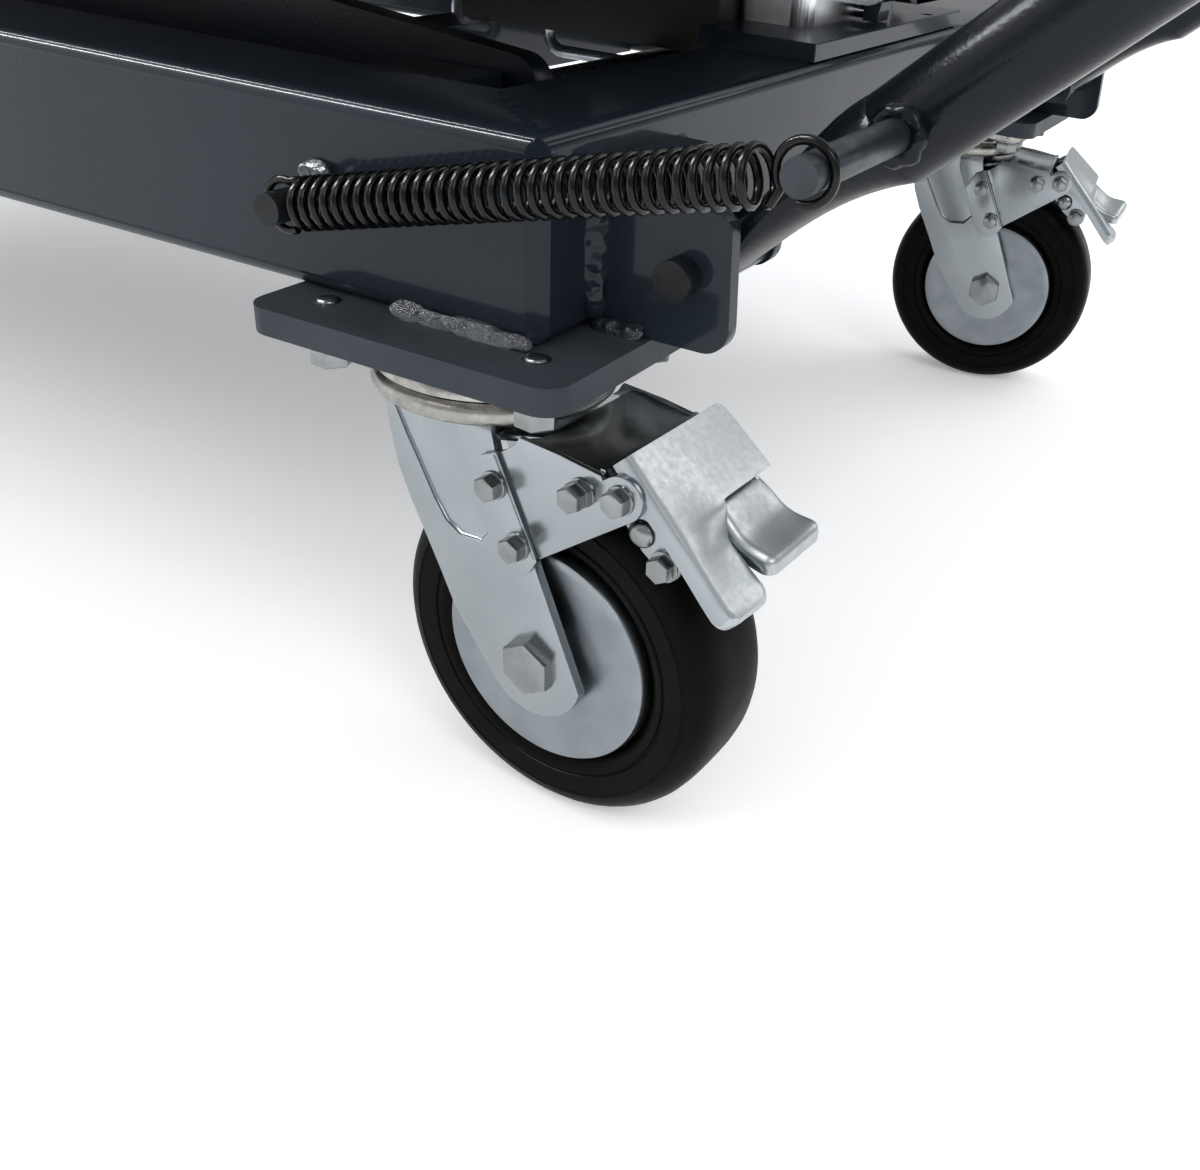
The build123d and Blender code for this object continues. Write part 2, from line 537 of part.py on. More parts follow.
# Deck: a plate with a skirt all round, and the ribs, pivot lugs and roller tracks under it.
PIECES["deck_plate"] = plate_xy(RectangleRounded(FRAME_L, FRAME_W, 12), DECK_UNDER, DECK_TOP)
skirt_face = RectangleRounded(FRAME_L, FRAME_W, 12)
skirt_face -= RectangleRounded(FRAME_L - 2 * DECK_T, FRAME_W - 2 * DECK_T, 12 - DECK_T)
PIECES["deck_skirt"] = plate_xy(skirt_face, SKIRT_Z, DECK_UNDER)
rib_y = INNER_Y0 - 20
rib_z = DECK_UNDER - 23
ribs = [block(x - 3, x + 3, -rib_y, rib_y, rib_z, DECK_UNDER) for x in (-0.2 * FRAME_L, 0, 0.2 * FRAME_L)]
rail_z = UPPER_Z + ROLLER_D / 2 + 0.3
rail = block(track_x0, track_x1, OUTER_Y1 + 2, OUTER_Y1 + 32, rail_z, rail_z + 6)
rail += block(track_x0, track_x1, OUTER_Y1 + 26, OUTER_Y1 + 32, rail_z + 6, DECK_UNDER)
deck_lug = block(PIVOT_X - 20, PIVOT_X + 20, INNER_Y0 - 16, INNER_Y0 - 6, UPPER_Z - 18, DECK_UNDER)
deck_lug -= bar_y(PIVOT_X, INNER_Y0 - 16, INNER_Y0 - 6, UPPER_Z, SHAFT_D / 2 + RUN)
deck_frame = ribs[0]
for piece in ribs[1:] + both_sides(rail) + both_sides(deck_lug):
    deck_frame += piece
PIECES["deck_frame"] = deck_frame

# Lift cylinder, drawn level along -X from its base pin and tilted to its rest slope.
cyl_place = Pos(CYL_X, 0, CYL_Z) * Rot(0, CYL_REST_DEG, 0)
ring_r = PUSH_TUBE_D / 2 + 5.6
gland_end = ring_r - CYL_CLOSED + 11
barrel_end = gland_end + 12
barrel = bar_x(barrel_end, -25, 0, 0, CYL_OD / 2) + bar_x(gland_end, barrel_end, 0, 0, CYL_OD / 2 - 4)
barrel += bar_y(0, -15, 15, 0, 16) + bar_x(-25, 0, 0, 0, 13)
barrel -= bar_x(barrel_end, -42, 0, 0, CYL_BORE / 2)
barrel -= bar_x(gland_end, barrel_end, 0, 0, ROD_D / 2 + RUN)
barrel -= bar_y(0, -15, 15, 0, 8 + RUN)
PIECES["cylinder_barrel"] = cyl_place * barrel
cyl_rod = bar_x(-CYL_CLOSED + ring_r + 3, -66, 0, 0, ROD_D / 2) + bar_x(-66, -46, 0, 0, CYL_BORE / 2 - RUN)
cyl_rod += bar_y(-CYL_CLOSED, -18, 18, 0, ring_r + 8)
cyl_rod -= bar_y(-CYL_CLOSED, -18, 18, 0, ring_r)
PIECES["cylinder_rod"] = cyl_place * cyl_rod

# Foot pump on the handle end beam: base plate, block with pedal lugs and pins, tank and pipe.
pump_base = block(PUMP_X, HX - 2, -105, 105, BEAM_TOP, PUMP_Z)
pump_base -= bar_z(HX - 8, 62, BEAM_TOP, PUMP_Z, 3)
PIECES["pump_plate"] = pump_base
pump_y = PUMP_W / 2
block_corners = [(PUMP_X, -pump_y, 3), (PUMP_X + 36, -pump_y, 9), (PUMP_X + 36, pump_y, 9), (PUMP_X, pump_y, 3)]
pump = plate_xy(outline(block_corners), PUMP_Z, PUMP_Z + 34)
pedal_lug = plate_xz(Pos(PEDAL_X, PEDAL_Z) * Circle(9), 0, 6)
pedal_lug += block(PUMP_X + 36, PEDAL_X, 0, 6, PEDAL_Z - 9, PEDAL_Z + 9)
for lug_y in (-18, 12, 33, 49):
    pump += Pos(0, lug_y, 0) * pedal_lug
pump += bar_y(PEDAL_X, -19, 19, PEDAL_Z, 5)
pump += bar_y(PEDAL_X, 32, 56, PEDAL_Z, 4)
PLUNGER_R = 4.0
plunger_z = PEDAL_Z - 13
pump -= bar_x(PUMP_X + 4, PUMP_X + 36, 0, plunger_z, PLUNGER_R + RUN)
PIECES["pump_block"] = pump
tank_corners = [(PUMP_X - 166, -80, 12), (PUMP_X, -80, 3), (PUMP_X, 80, 3), (PUMP_X - 166, 80, 12)]
PIECES["oil_tank"] = plate_xy(outline(tank_corners), PIVOT_Z + PIVOT_D / 2 + 3, PUMP_Z + 30)
feed = [(PUMP_X + 18, pump_y, PEDAL_Z), (PUMP_X + 18, 112, PEDAL_Z), (PUMP_X - 23, 112, PEDAL_Z)]
feed += [(PUMP_X - 23, 112, PAD_TOP + 18), (CROSS_X0 + 62, 112, PAD_TOP + 18)]
feed += [(CROSS_X0 + 62, 112, PAD_TOP + 48), (CYL_X, 112, PAD_TOP + 48), (CYL_X, 112, CYL_Z), (CYL_X, 27, CYL_Z)]
PIECES["pressure_pipe"] = pipe_along(bend_path(feed, 12), 4, 2.5)

# Pump pedal with its foot plate, the plunger that its heel drives, and the lowering pedal.
pedal_place = Pos(PEDAL_X, 0, PEDAL_Z)
pedal_tilt = Rot(0, -PEDAL_RISE_DEG, 0)
lever = bar_y(0, -11.4, 11.4, 0, 9)
lever += plate_xz(sharp([(0, -8), (PEDAL_L - 60, -6), (PEDAL_L - 60, 6), (0, 8)]), -8, 8)
lever += block(PEDAL_L - 66, PEDAL_L, -48, 48, -3, 4)
lever = pedal_tilt * lever
lever += plate_xz(sharp([(-5, 0), (-5, -17.3), (3, -17.3), (6, 0)]), -8, 8)
lever -= bar_y(0, -11.4, 11.4, 0, 5 + RUN)
PIECES["pump_pedal"] = pedal_place * lever
PIECES["pump_plunger"] = bar_x(PUMP_X + 14, PEDAL_X - 5 - GAP, 0, plunger_z, PLUNGER_R)
small = bar_y(0, 39.6, 48.4, 0, 8)
small += plate_xz(sharp([(0, -6), (130, -5), (130, 5), (0, 6)]), 40, 48)
small += block(118, 160, 28, 60, -3, 3)
small = pedal_tilt * small
small -= bar_y(0, 39.6, 48.4, 0, 4 + RUN)
PIECES["lowering_pedal"] = pedal_place * small

# Handle hinge on the end beam: outer ears, inner lugs and stop bars, with the headed hinge pins.
ear_corners = [(HX, PAD_TOP, 0), (HX + 54, PAD_TOP, 10), (HX + 52, PAD_TOP + 47, 5), (HX, PAD_TOP + 59, 0)]
ear = plate_xz(outline(ear_corners), EAR_Y0, EAR_Y1)
ear -= bar_y(HINGE_X, EAR_Y0, EAR_Y1, HINGE_Z, HINGE_PIN_D / 2)
lug_y1 = LEG_Y - 22.5
lug_points = [(HX, HINGE_Z - 9), (HINGE_X, HINGE_Z - 9), (HINGE_X, HINGE_Z + 9), (HX, PAD_TOP + 58)]
inner_lug = plate_xz(sharp(lug_points) + Pos(HINGE_X, HINGE_Z) * Circle(9), lug_y1 - EAR_T, lug_y1)
inner_lug -= bar_y(HINGE_X, lug_y1 - EAR_T, lug_y1, HINGE_Z, HINGE_PIN_D / 2)
stop_bar = block(HX, HX + 14, lug_y1, EAR_Y0, PAD_TOP + 51, PAD_TOP + 58)
ear_set = ear + inner_lug + stop_bar
PIECES["handle_ears"] = group(both_sides(ear_set))
hinge_pin = bar_y(HINGE_X, lug_y1 - EAR_T - 2, EAR_Y1, HINGE_Z, HINGE_PIN_D / 2)
hinge_pin += bar_y(HINGE_X, EAR_Y1, EAR_Y1 + 8.7, HINGE_Z, 7)
PIECES["handle_hinge_pins"] = group(both_sides(hinge_pin))

# Push handle: a round tube bent into a U, its legs cranked outward above the hinges.
leg_dx = cos(radians(LEG_DEG))
leg_dz = sin(radians(LEG_DEG))
foot_top = 76.0
knee_x = HINGE_X + LEG_L * leg_dx
knee_z = HINGE_Z + LEG_L * leg_dz
top_x = knee_x + (HANDLE_TOP - knee_z) / tan(radians(UPRIGHT_DEG))
handle_line = [(HINGE_X + foot_top * leg_dx, -LEG_Y, HINGE_Z + foot_top * leg_dz), (knee_x, -LEG_Y, knee_z)]
handle_line += [(top_x, -LEG_Y, HANDLE_TOP), (top_x, LEG_Y, HANDLE_TOP), (knee_x, LEG_Y, knee_z)]
handle_line += [(HINGE_X + foot_top * leg_dx, LEG_Y, HINGE_Z + foot_top * leg_dz)]
handle_path = bend_path(handle_line, BEND_R)
PIECES["handle_tube"] = pipe_along(handle_path, HANDLE_D / 2, HANDLE_D / 2 - HANDLE_WALL)
grip_y = LEG_Y - BEND_R - 8
grip = bar_y(top_x, -grip_y, grip_y, HANDLE_TOP, HANDLE_D / 2 + 3.5)
grip -= bar_y(top_x, -grip_y, grip_y, HANDLE_TOP, HANDLE_D / 2)
PIECES["handle_grip"] = grip

# Handle feet: the tube ends pressed flat around a hinge eye, with a heel that meets the stop bar.
stations = [(5, 21, 7.5, 0), (24, 20.5, 7.6, 0.6), (48, 18.6, 10.8, 2.6), (foot_top, HANDLE_D / 2, HANDLE_D / 2, 0)]
slices = []
for along, wide, thick, lift in stations:
    spot = (HINGE_X + along * leg_dx - lift * leg_dz, LEG_Y, HINGE_Z + along * leg_dz + lift * leg_dx)
    slices.append(Plane(origin=spot, x_dir=(0, 1, 0), z_dir=(leg_dx, 0, leg_dz)) * Ellipse(wide, thick))
foot = loft(slices)
eye_y0 = lug_y1 + GAP
eye_y1 = EAR_Y0 - GAP
foot += bar_y(HINGE_X, eye_y0, eye_y1, HINGE_Z, 8)
heel_corners = [(-4, 2), (-20.6, 25), (-20.6, 32), (-14, 34), (5, 4)]
foot += plate_xz(Pos(HINGE_X, HINGE_Z) * sharp(heel_corners), LEG_Y - 6, LEG_Y + 6)
foot -= bar_y(HINGE_X, eye_y0, eye_y1, HINGE_Z, HINGE_PIN_D / 2 + RUN)
PIECES["handle_feet"] = group(both_sides(foot))

# Spring pins: plain round pins on the side beams and on the handle legs.
pin_end = HY + 25.0
anchor_pin = bar_y(ANCHOR_X, HY, pin_end, ANCHOR_Z, SPRING_PIN_D / 2)
PIECES["spring_anchor_pins"] = group(both_sides(anchor_pin))
leg_axis = Plane(origin=(HINGE_X, LEG_Y, HINGE_Z), z_dir=(leg_dx, 0, leg_dz))
leg_solid = extrude(leg_axis * Circle(HANDLE_D / 2), LEG_L)
handle_pin = bar_y(SPRING_PIN_X, LEG_Y, pin_end, SPRING_PIN_Z, SPRING_PIN_D / 2) - leg_solid - foot
handle_pin = handle_pin.solids().sort_by(Axis.Y)[-1]
PIECES["handle_spring_pins"] = group(both_sides(handle_pin))

# Handle springs: close coils between a hook round the anchor pin and a hook round the handle pin.
span_x = SPRING_PIN_X - ANCHOR_X
span_z = SPRING_PIN_Z - ANCHOR_Z
span = hypot(span_x, span_z)
slope = degrees(atan2(span_z, span_x))
coil_r = (SPRING_OD - SPRING_WIRE) / 2
wire_r = SPRING_WIRE / 2
hook_r = SPRING_PIN_D / 2 + wire_r + 0.3
coil_start = hook_r + 4.0
coil_len = span - 2 * coil_start
helix = Helix(coil_len / SPRING_COILS, coil_len, coil_r)
coil = sweep(Plane(origin=helix @ 0, z_dir=helix % 0) * Circle(wire_r), path=helix, is_frenet=True)
coil = Rot(0, 90, 0) * coil
hook_shapes = []
for centre, facing in ((0.0, 1), (span, -1)):
    ring = Pos(centre, 0, 0) * Rot(90, 0, 0) * Torus(hook_r, wire_r)
    hook_shapes.append(ring)
    stem_x0 = centre + facing * hook_r
    stem_x1 = centre + facing * (coil_start + 1.0)
    hook_shapes.append(bar_x(min(stem_x0, stem_x1), max(stem_x0, stem_x1), 0, 0, wire_r))
    link_x = centre + facing * (coil_start + 0.3)
    hook_shapes.append(bar_z(link_x, 0, -coil_r, coil_r, wire_r))
spring = Pos(coil_start, 0, 0) * coil
for piece in hook_shapes:
    spring += piece
spring = Pos(ANCHOR_X, SPRING_Y, ANCHOR_Z) * Rot(0, -slope, 0) * spring
PIECES["right_handle_spring"] = spring
PIECES["left_handle_spring"] = mirror(spring, about=Plane.XZ)

# Put the origin at the middle of the bounding box's floor face and write one file per piece.
whole = Compound([solid for piece in PIECES.values() for solid in piece.solids()]).bounding_box()
SHIFT = Pos(-(whole.min.X + whole.max.X) / 2, -(whole.min.Y + whole.max.Y) / 2, -whole.min.Z)
OFFSET = SHIFT.position
for piece_name, piece_shape in PIECES.items():
    export_step(SHIFT * piece_shape, "parts/" + piece_name + ".step")
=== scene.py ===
from itertools import product
from math import atan2, cos, hypot, pi, radians, sin

import bmesh
import bpy
from mathutils import Matrix, Vector, noise


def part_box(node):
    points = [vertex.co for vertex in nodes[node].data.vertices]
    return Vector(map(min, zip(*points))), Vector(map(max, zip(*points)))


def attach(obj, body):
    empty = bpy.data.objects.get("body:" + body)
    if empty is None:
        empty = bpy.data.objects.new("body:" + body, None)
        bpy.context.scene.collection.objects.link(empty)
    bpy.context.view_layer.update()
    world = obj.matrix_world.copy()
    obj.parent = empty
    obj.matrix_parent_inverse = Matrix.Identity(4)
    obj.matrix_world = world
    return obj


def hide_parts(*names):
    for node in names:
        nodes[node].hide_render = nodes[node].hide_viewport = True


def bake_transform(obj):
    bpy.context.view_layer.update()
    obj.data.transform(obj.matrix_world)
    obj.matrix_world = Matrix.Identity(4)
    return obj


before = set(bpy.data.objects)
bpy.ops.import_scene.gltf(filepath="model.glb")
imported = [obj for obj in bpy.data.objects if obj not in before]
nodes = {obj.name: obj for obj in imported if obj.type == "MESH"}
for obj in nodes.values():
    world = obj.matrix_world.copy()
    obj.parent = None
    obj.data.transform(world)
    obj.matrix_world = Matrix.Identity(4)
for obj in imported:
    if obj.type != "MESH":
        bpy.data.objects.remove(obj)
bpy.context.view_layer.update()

# Base frame: rectangular steel tube with rounded edges, mitred and welded at the corners.
# It is powder coated anthracite, a sprayed and baked finish with a fine orange peel.
# The fitted pieces hold their own places, so positions are read from the frame's boxes.
MM = 0.001
END_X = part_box("handle_end_beam")[1].x
SIDE_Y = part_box("left_side_beam")[0].y
PAD_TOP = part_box("caster_pads")[1].z


def spot(out, across, up):
    """Point from the near corner of the frame: out past the handle end, across it and up, in mm."""
    return Vector((END_X + out * MM, SIDE_Y + across * MM, PAD_TOP + up * MM))


def linear(code):
    """Linear colour from an sRGB hex code."""
    parts = [int(code[i:i + 2], 16) / 255 for i in (0, 2, 4)]
    return [c / 12.92 if c <= 0.04045 else ((c + 0.055) / 1.055) ** 2.4 for c in parts] + [1.0]


def add(tree, kind, sockets, **settings):
    """Adds one shader node. A socket takes a value or another node's output."""
    node = tree.nodes.new(kind)
    for key, value in settings.items():
        setattr(node, key, value)
    for key, value in sockets.items():
        if isinstance(value, bpy.types.NodeSocket):
            tree.links.new(value, node.inputs[key])
        else:
            node.inputs[key].default_value = value
    return node


def per_mm(size):
    """Noise scale whose features are about this many millimetres across."""
    return 1000.0 / size


def surface(name, light, dark, patch, rough, rough_swing, grain, grain_depth, **shader):
    """Material whose colour drifts between two tones, with its own roughness drift and fine grain."""
    mat = bpy.data.materials.new(name)
    mat.use_nodes = True
    tree = mat.node_tree
    bsdf = tree.nodes["Principled BSDF"]
    place = add(tree, "ShaderNodeTexCoord", {}).outputs["Object"]
    drift = add(tree, "ShaderNodeTexNoise", {"Vector": place, "Scale": per_mm(patch), "Detail": 4.0})
    spread = {"Value": drift.outputs["Fac"], "From Min": 0.3, "From Max": 0.7}
    tone = add(tree, "ShaderNodeMapRange", spread)
    colour = add(tree, "ShaderNodeMix", {"Factor": tone.outputs["Result"]}, data_type="RGBA")
    colour.inputs["A"].default_value = linear(dark)
    colour.inputs["B"].default_value = linear(light)
    tree.links.new(colour.outputs["Result"], bsdf.inputs["Base Color"])
    gloss = {"To Min": rough + rough_swing, "To Max": rough - rough_swing}
    swing = add(tree, "ShaderNodeMapRange", spread | gloss)
    tree.links.new(swing.outputs["Result"], bsdf.inputs["Roughness"])
    peel = add(tree, "ShaderNodeTexNoise", {"Vector": place, "Scale": per_mm(grain), "Detail": 2.0})
    bump = add(tree, "ShaderNodeBump", {"Height": peel.outputs["Fac"], "Strength": 1.0,
                                        "Distance": grain_depth * MM})
    tree.links.new(bump.outputs["Normal"], bsdf.inputs["Normal"])
    for key, value in shader.items():
        bsdf.inputs[key.replace("_", " ")].default_value = value
    return mat


def soften(obj, width, angle, harden):
    """Rounds the edges where a piece's faces meet at more than an angle in degrees, by a width in mm."""
    bevel = obj.modifiers.new("edges", "BEVEL")
    bevel.width = width * MM
    bevel.segments = 2
    bevel.profile = 0.5
    bevel.limit_method = "ANGLE"
    bevel.angle_limit = radians(angle)
    bevel.harden_normals = harden
    bevel.use_clamp_overlap = True


def dress(node, material, edge):
    """Gives a fitted piece its finish and breaks its sharp edges by a small width in mm."""
    obj = nodes[node]
    obj.data.materials.clear()
    obj.data.materials.append(material)
    weld = obj.modifiers.new("join", "WELD")
    weld.merge_threshold = 0.02 * MM
    if edge:
        soften(obj, edge, 38, True)


# The coat is dark and nearly flat in itself, under a thin clear skin that mirrors the lamps
# along the edges.
powder_coat = surface("powder_coated_steel", "1D242C", "171D24", 90.0, 0.34, 0.04, 1.7, 0.10,
                      Specular_IOR_Level=0.06, Coat_Weight=0.33, Coat_Roughness=0.08)
for name in ("left_side_beam", "right_side_beam", "handle_end_beam", "far_end_beam"):
    dress(name, powder_coat, 0)
for name in ("cross_member", "arm_pivot_lugs", "roller_tracks"):
    dress(name, powder_coat, 0.8)


# Welds: short runs of overlapping ripples where tubes, pads and ears meet, left as laid
# and painted over with the frame. The coat is thin on them, so they glitter a little.
def finish(bm, name, material, body, stands_for=(), sharp=32):
    """Turns a bmesh in metres into a piece, which rides on a body where one is named."""
    bmesh.ops.remove_doubles(bm, verts=bm.verts, dist=1e-6)
    bmesh.ops.recalc_face_normals(bm, faces=bm.faces)
    mesh = bpy.data.meshes.new(name)
    bm.to_mesh(mesh)
    bm.free()
    mesh.materials.append(material)
    mesh.polygons.foreach_set("use_smooth", [True] * len(mesh.polygons))
    mesh.set_sharp_from_angle(angle=radians(sharp))
    obj = bpy.data.objects.new(name, mesh)
    bpy.context.scene.collection.objects.link(obj)
    if body:
        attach(obj, body)
    if stands_for:
        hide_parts(*stands_for)
    return obj


weld_paint = surface("painted_weld_bead", "252B31", "14181D", 3.0, 0.14, 0.05, 0.9, 0.30,
                     Specular_IOR_Level=0.7)
BEAD_LUMP = 4.2
BEAD_FLECK = 1.3
BEAD_WANDER = 11.0
BEAD_SUNK = 0.3
BEAD_STEP = 0.8


def bead(bm, start, end, width, height, up, seed, fillet=True):
    """Lumpy weld run in metres. A fillet lies across the corner between two faces, along their line."""
    along = end - start
    up = up.normalized()
    side = along.normalized().cross(up)
    if fillet:
        start = start + up * (width / 2 * MM)
    length = along.length / MM
    grid = bmesh.ops.create_grid(bm, x_segments=int(length / BEAD_STEP), y_segments=10, size=0.5)
    for vert in grid["verts"]:
        part = vert.co.x + 0.5
        across = vert.co.y * 2
        lump = noise.noise(Vector((part * length / BEAD_LUMP, across * width / 8.0, seed * 3.7)))
        fleck = noise.noise(Vector((part * length / BEAD_FLECK, across * width / 2.6, seed * 1.9)))
        wander = noise.noise(Vector((part * length / BEAD_WANDER, seed * 5.1, across)))
        taper = (1 - abs(2 * part - 1) ** 8) ** 0.5
        half = width / 2 * (1 + 0.7 * wander) * taper
        lift = height * taper * (1 - across * across) * (1 + 0.7 * lump + 0.3 * fleck)
        vert.co = start + along * part + side * (across * half * MM) + up * ((lift - BEAD_SUNK) * MM)


def both(points):
    """The points, and the same points on the other side of the table."""
    yield -1, points
    yield 1, [Vector((p.x, -p.y, p.z)) for p in points]


welds = bmesh.new()
seams = bmesh.new()
seed = 0
FAR_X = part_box("far_end_beam")[0].x
MITRE_RUN = [spot(-6, 6, 70), spot(-56, 56, 70)]
PAD_RUN = [spot(-62, 0, 0), spot(-1, 0, 0)]
EAR_RUN = [spot(0, 33, 4), spot(0, 33, 56)]
EAR_FOOT_RUN = [spot(1, 33, 0), spot(22, 33, 0)]
ANCHOR_RUN = [spot(-98, 0, 42), spot(-84, 0, 43)]
for near_end in (True, False):
    for _, line in both(MITRE_RUN):
        line = [p if near_end else Vector((FAR_X + END_X - p.x, p.y, p.z)) for p in line]
        bead(seams, *line, 7.0, 1.0, Vector((0, 0, 1)), seed, False)
        seed += 1
for side, line in both(PAD_RUN + EAR_RUN + EAR_FOOT_RUN):
    bead(welds, *line[0:2], 7.6, 1.0, Vector((0, side, 1)), seed)
    bead(seams, *line[2:4], 9.0, 1.6, Vector((1, side, 0)), seed + 1)
    bead(welds, *line[4:6], 7.0, 1.5, Vector((0, side, 1)), seed + 2)
    seed += 3
for side, line in both(ANCHOR_RUN):
    bead(welds, *line, 7.0, 2.4, Vector((0, side, 0.5)), seed)
    seed += 1
finish(welds, "frame_welds", weld_paint, "base", sharp=60)
finish(seams, "frame_seams", powder_coat, "base", sharp=60)

# Caster pads: thick plates welded under the corners, coated like the frame but flatter.
# The bolts come up from below through the caster plates and end level with the top of the pad,
# zinc plated and smooth, so each flat of a head mirrors one side of the room.
pad_coat = surface("matte_coated_plate", "3B3F45", "32363B", 30.0, 0.42, 0.05, 0.9, 0.05,
                   Specular_IOR_Level=0.08)
dress("caster_pads", pad_coat, 0.9)
zinc_bolt = surface("bright_zinc_fastener", "8F9292", "7E8181", 9.0, 0.24, 0.05, 0.8, 0.02, Metallic=1.0)
black_coat = surface("satin_black_coat", "141516", "0E0E0F", 40.0, 0.40, 0.05, 1.4, 0.03)
KING_X = END_X - 42 * MM
FAR_KING_X = FAR_X + 42 * MM
KING_Y = -SIDE_Y - 33 * MM
BOLT_X = 45 * MM
BOLT_Y = 39 * MM
CASTER_PLATE = 5 * MM
BOLT_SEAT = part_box("swivel_plates")[1].z - CASTER_PLATE
BOLT_R = 4.2 * MM
BOLT_TIP = 1.0 * MM
WASHER_R = 9.0 * MM
WASHER_T = 1.8 * MM
HEAD_R = 7.9 * MM
HEAD_T = 7.0 * MM
HEAD_TURN = radians(23)
SHADE_RING_R = BOLT_R + 0.9 * MM


def round_edges(bm, edges, radius, steps):
    """Rounds edges of a bmesh, as a press or a lathe leaves them."""
    bmesh.ops.bevel(bm, geom=list(edges), offset=radius, offset_type="OFFSET", segments=steps, profile=0.5,
                    affect="EDGES", material=-1, clamp_overlap=True)


def upright(bm, x, y, low, high, radius, edge, sides=28, turn=0.0):
    """Upright round or six-sided solid in metres with its rims rounded."""
    place = Matrix.Translation((x, y, (low + high) / 2)) @ Matrix.Rotation(turn, 4, "Z")
    made = bmesh.ops.create_cone(bm, cap_ends=True, segments=sides, radius1=radius, radius2=radius,
                                 depth=high - low, matrix=place)
    rims = {e for v in made["verts"] for e in v.link_edges if abs(e.verts[0].co.z - e.verts[1].co.z) < 1e-7}
    round_edges(bm, rims, edge, 3)


bolts = bmesh.new()
# A thin black ring round each bolt tip is painted shade: it stands for the shadow inside the tapped hole's
# countersink.
shade_rings = bmesh.new()
HEAD_TOP = BOLT_SEAT - WASHER_T
bolt_places = product((KING_X, FAR_KING_X), (-1, 1), (-BOLT_X, BOLT_X), (-BOLT_Y, BOLT_Y))
for king_x, side, step_x, step_y in bolt_places:
    x = king_x + step_x
    y = side * KING_Y + step_y
    upright(bolts, x, y, HEAD_TOP, BOLT_SEAT, WASHER_R, 0.5 * MM)
    upright(bolts, x, y, HEAD_TOP - HEAD_T, HEAD_TOP, HEAD_R, 0.8 * MM, 6, HEAD_TURN)
    upright(bolts, x, y, BOLT_SEAT, PAD_TOP + BOLT_TIP, BOLT_R, BOLT_TIP)
    upright(shade_rings, x, y, PAD_TOP - 1.0 * MM, PAD_TOP + 0.15 * MM, SHADE_RING_R, 0.1 * MM)
finish(bolts, "caster_bolt_set", zinc_bolt, "base", ["caster_bolts"])
finish(shade_rings, "painted_shade_hole_rims", black_coat, "base")

# Handle hinge: ears cut from plate and welded to the end beam, with stop bars and headed pins.
# The ears have the frame's coat and the pins a thin black one. The bars that carry the springs
# on the handle's legs are left as drawn, a dull blue grey.
dress("handle_ears", powder_coat, 0.9)
painted_pin = surface("painted_pin", "15181B", "0E1012", 9.0, 0.34, 0.08, 1.0, 0.06, Specular_IOR_Level=0.2)
dress("handle_hinge_pins", painted_pin, 0.7)
dress("spring_anchor_pins", painted_pin, 0.8)
bare_steel = surface("bare_bar_steel", "383D42", "2D3236", 9.0, 0.40, 0.08, 0.8, 0.04, Metallic=0.6)
dress("handle_spring_pins", bare_steel, 0.8)

# Handle springs: close-wound black spring wire with a round hook at each end,
# one hook over the anchor pin on the beam and the other over the pin on the handle leg.
# The oil-blackened wire is darker than the coat and glints along the top of each turn.
spring_wire = surface("blackened_spring_wire", "060606", "030303", 12.0, 0.22, 0.04, 1.2, 0.02,
                      Specular_IOR_Level=0.26)
WIRE_R = 1.45
COIL_R = 7.8
COILS = 35.5
HOOK_R = 8.6
PIN_R = 5.6
HOOK_BACK = HOOK_R - WIRE_R - PIN_R
HOOK_ROOM = 8.0
PIN_ROOM = 13.5
PIN_OUT = 97.5
PIN_UP = 79.5
SPRING_SIDE = -17
anchor = spot(-92.7, SPRING_SIDE, 35.2)
handle_pin = spot(PIN_OUT, SPRING_SIDE, PIN_UP)
span = (handle_pin - anchor).length / MM
slope = atan2(handle_pin.z - anchor.z, handle_pin.x - anchor.x)


def hook(centre, start, end, steps=30):
    """Points clockwise round a hook, its angles in degrees, in mm along the spring."""
    for i in range(steps + 1):
        angle = radians(start + (end - start) * i / steps)
        yield Vector((centre + HOOK_R * cos(angle), 0, HOOK_R * sin(angle)))


def wire_line():
    """Line of the spring's wire from the end of one hook to the end of the other, in mm."""
    first = HOOK_ROOM
    last = span - PIN_ROOM
    line = list(hook(HOOK_BACK, 285, 62))
    turns = int(COILS * 20)
    for i in range(turns + 1):
        angle = 2 * pi * COILS * i / turns
        line.append(Vector((first + (last - first) * i / turns, COIL_R * sin(angle), COIL_R * cos(angle))))
    line.append(Vector((last + 1.2, -1.5, -COIL_R + 0.4)))
    return line + list(hook(span - HOOK_BACK, 205, -112))


def wire(line, radius):
    """Round wire along a line of points, as a bmesh."""
    curve = bpy.data.curves.new("wire", "CURVE")
    curve.dimensions = "3D"
    curve.bevel_depth = radius
    curve.bevel_resolution = 2
    curve.use_fill_caps = True
    spline = curve.splines.new("POLY")
    spline.points.add(len(line) - 1)
    for point, place in zip(spline.points, line):
        point.co = (*place, 1.0)
    holder = bpy.data.objects.new("wire", curve)
    mesh = bpy.data.meshes.new_from_object(holder)
    bm = bmesh.new()
    bm.from_mesh(mesh)
    bpy.data.meshes.remove(mesh)
    bpy.data.objects.remove(holder)
    bpy.data.curves.remove(curve)
    return bm


for side, name in ((-1, "left"), (1, "right")):
    coil = wire(wire_line(), WIRE_R)
    flip = Matrix.Diagonal((1, -side, 1))
    lay = Matrix.Translation(flip @ anchor) @ Matrix.Rotation(-slope, 4, "Y")
    bmesh.ops.transform(coil, verts=coil.verts, matrix=lay @ Matrix.Scale(MM, 4))
    piece = finish(coil, name + "_spring_coil", spring_wire, None,
                   [name + "_handle_spring"], 60)
    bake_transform(piece)

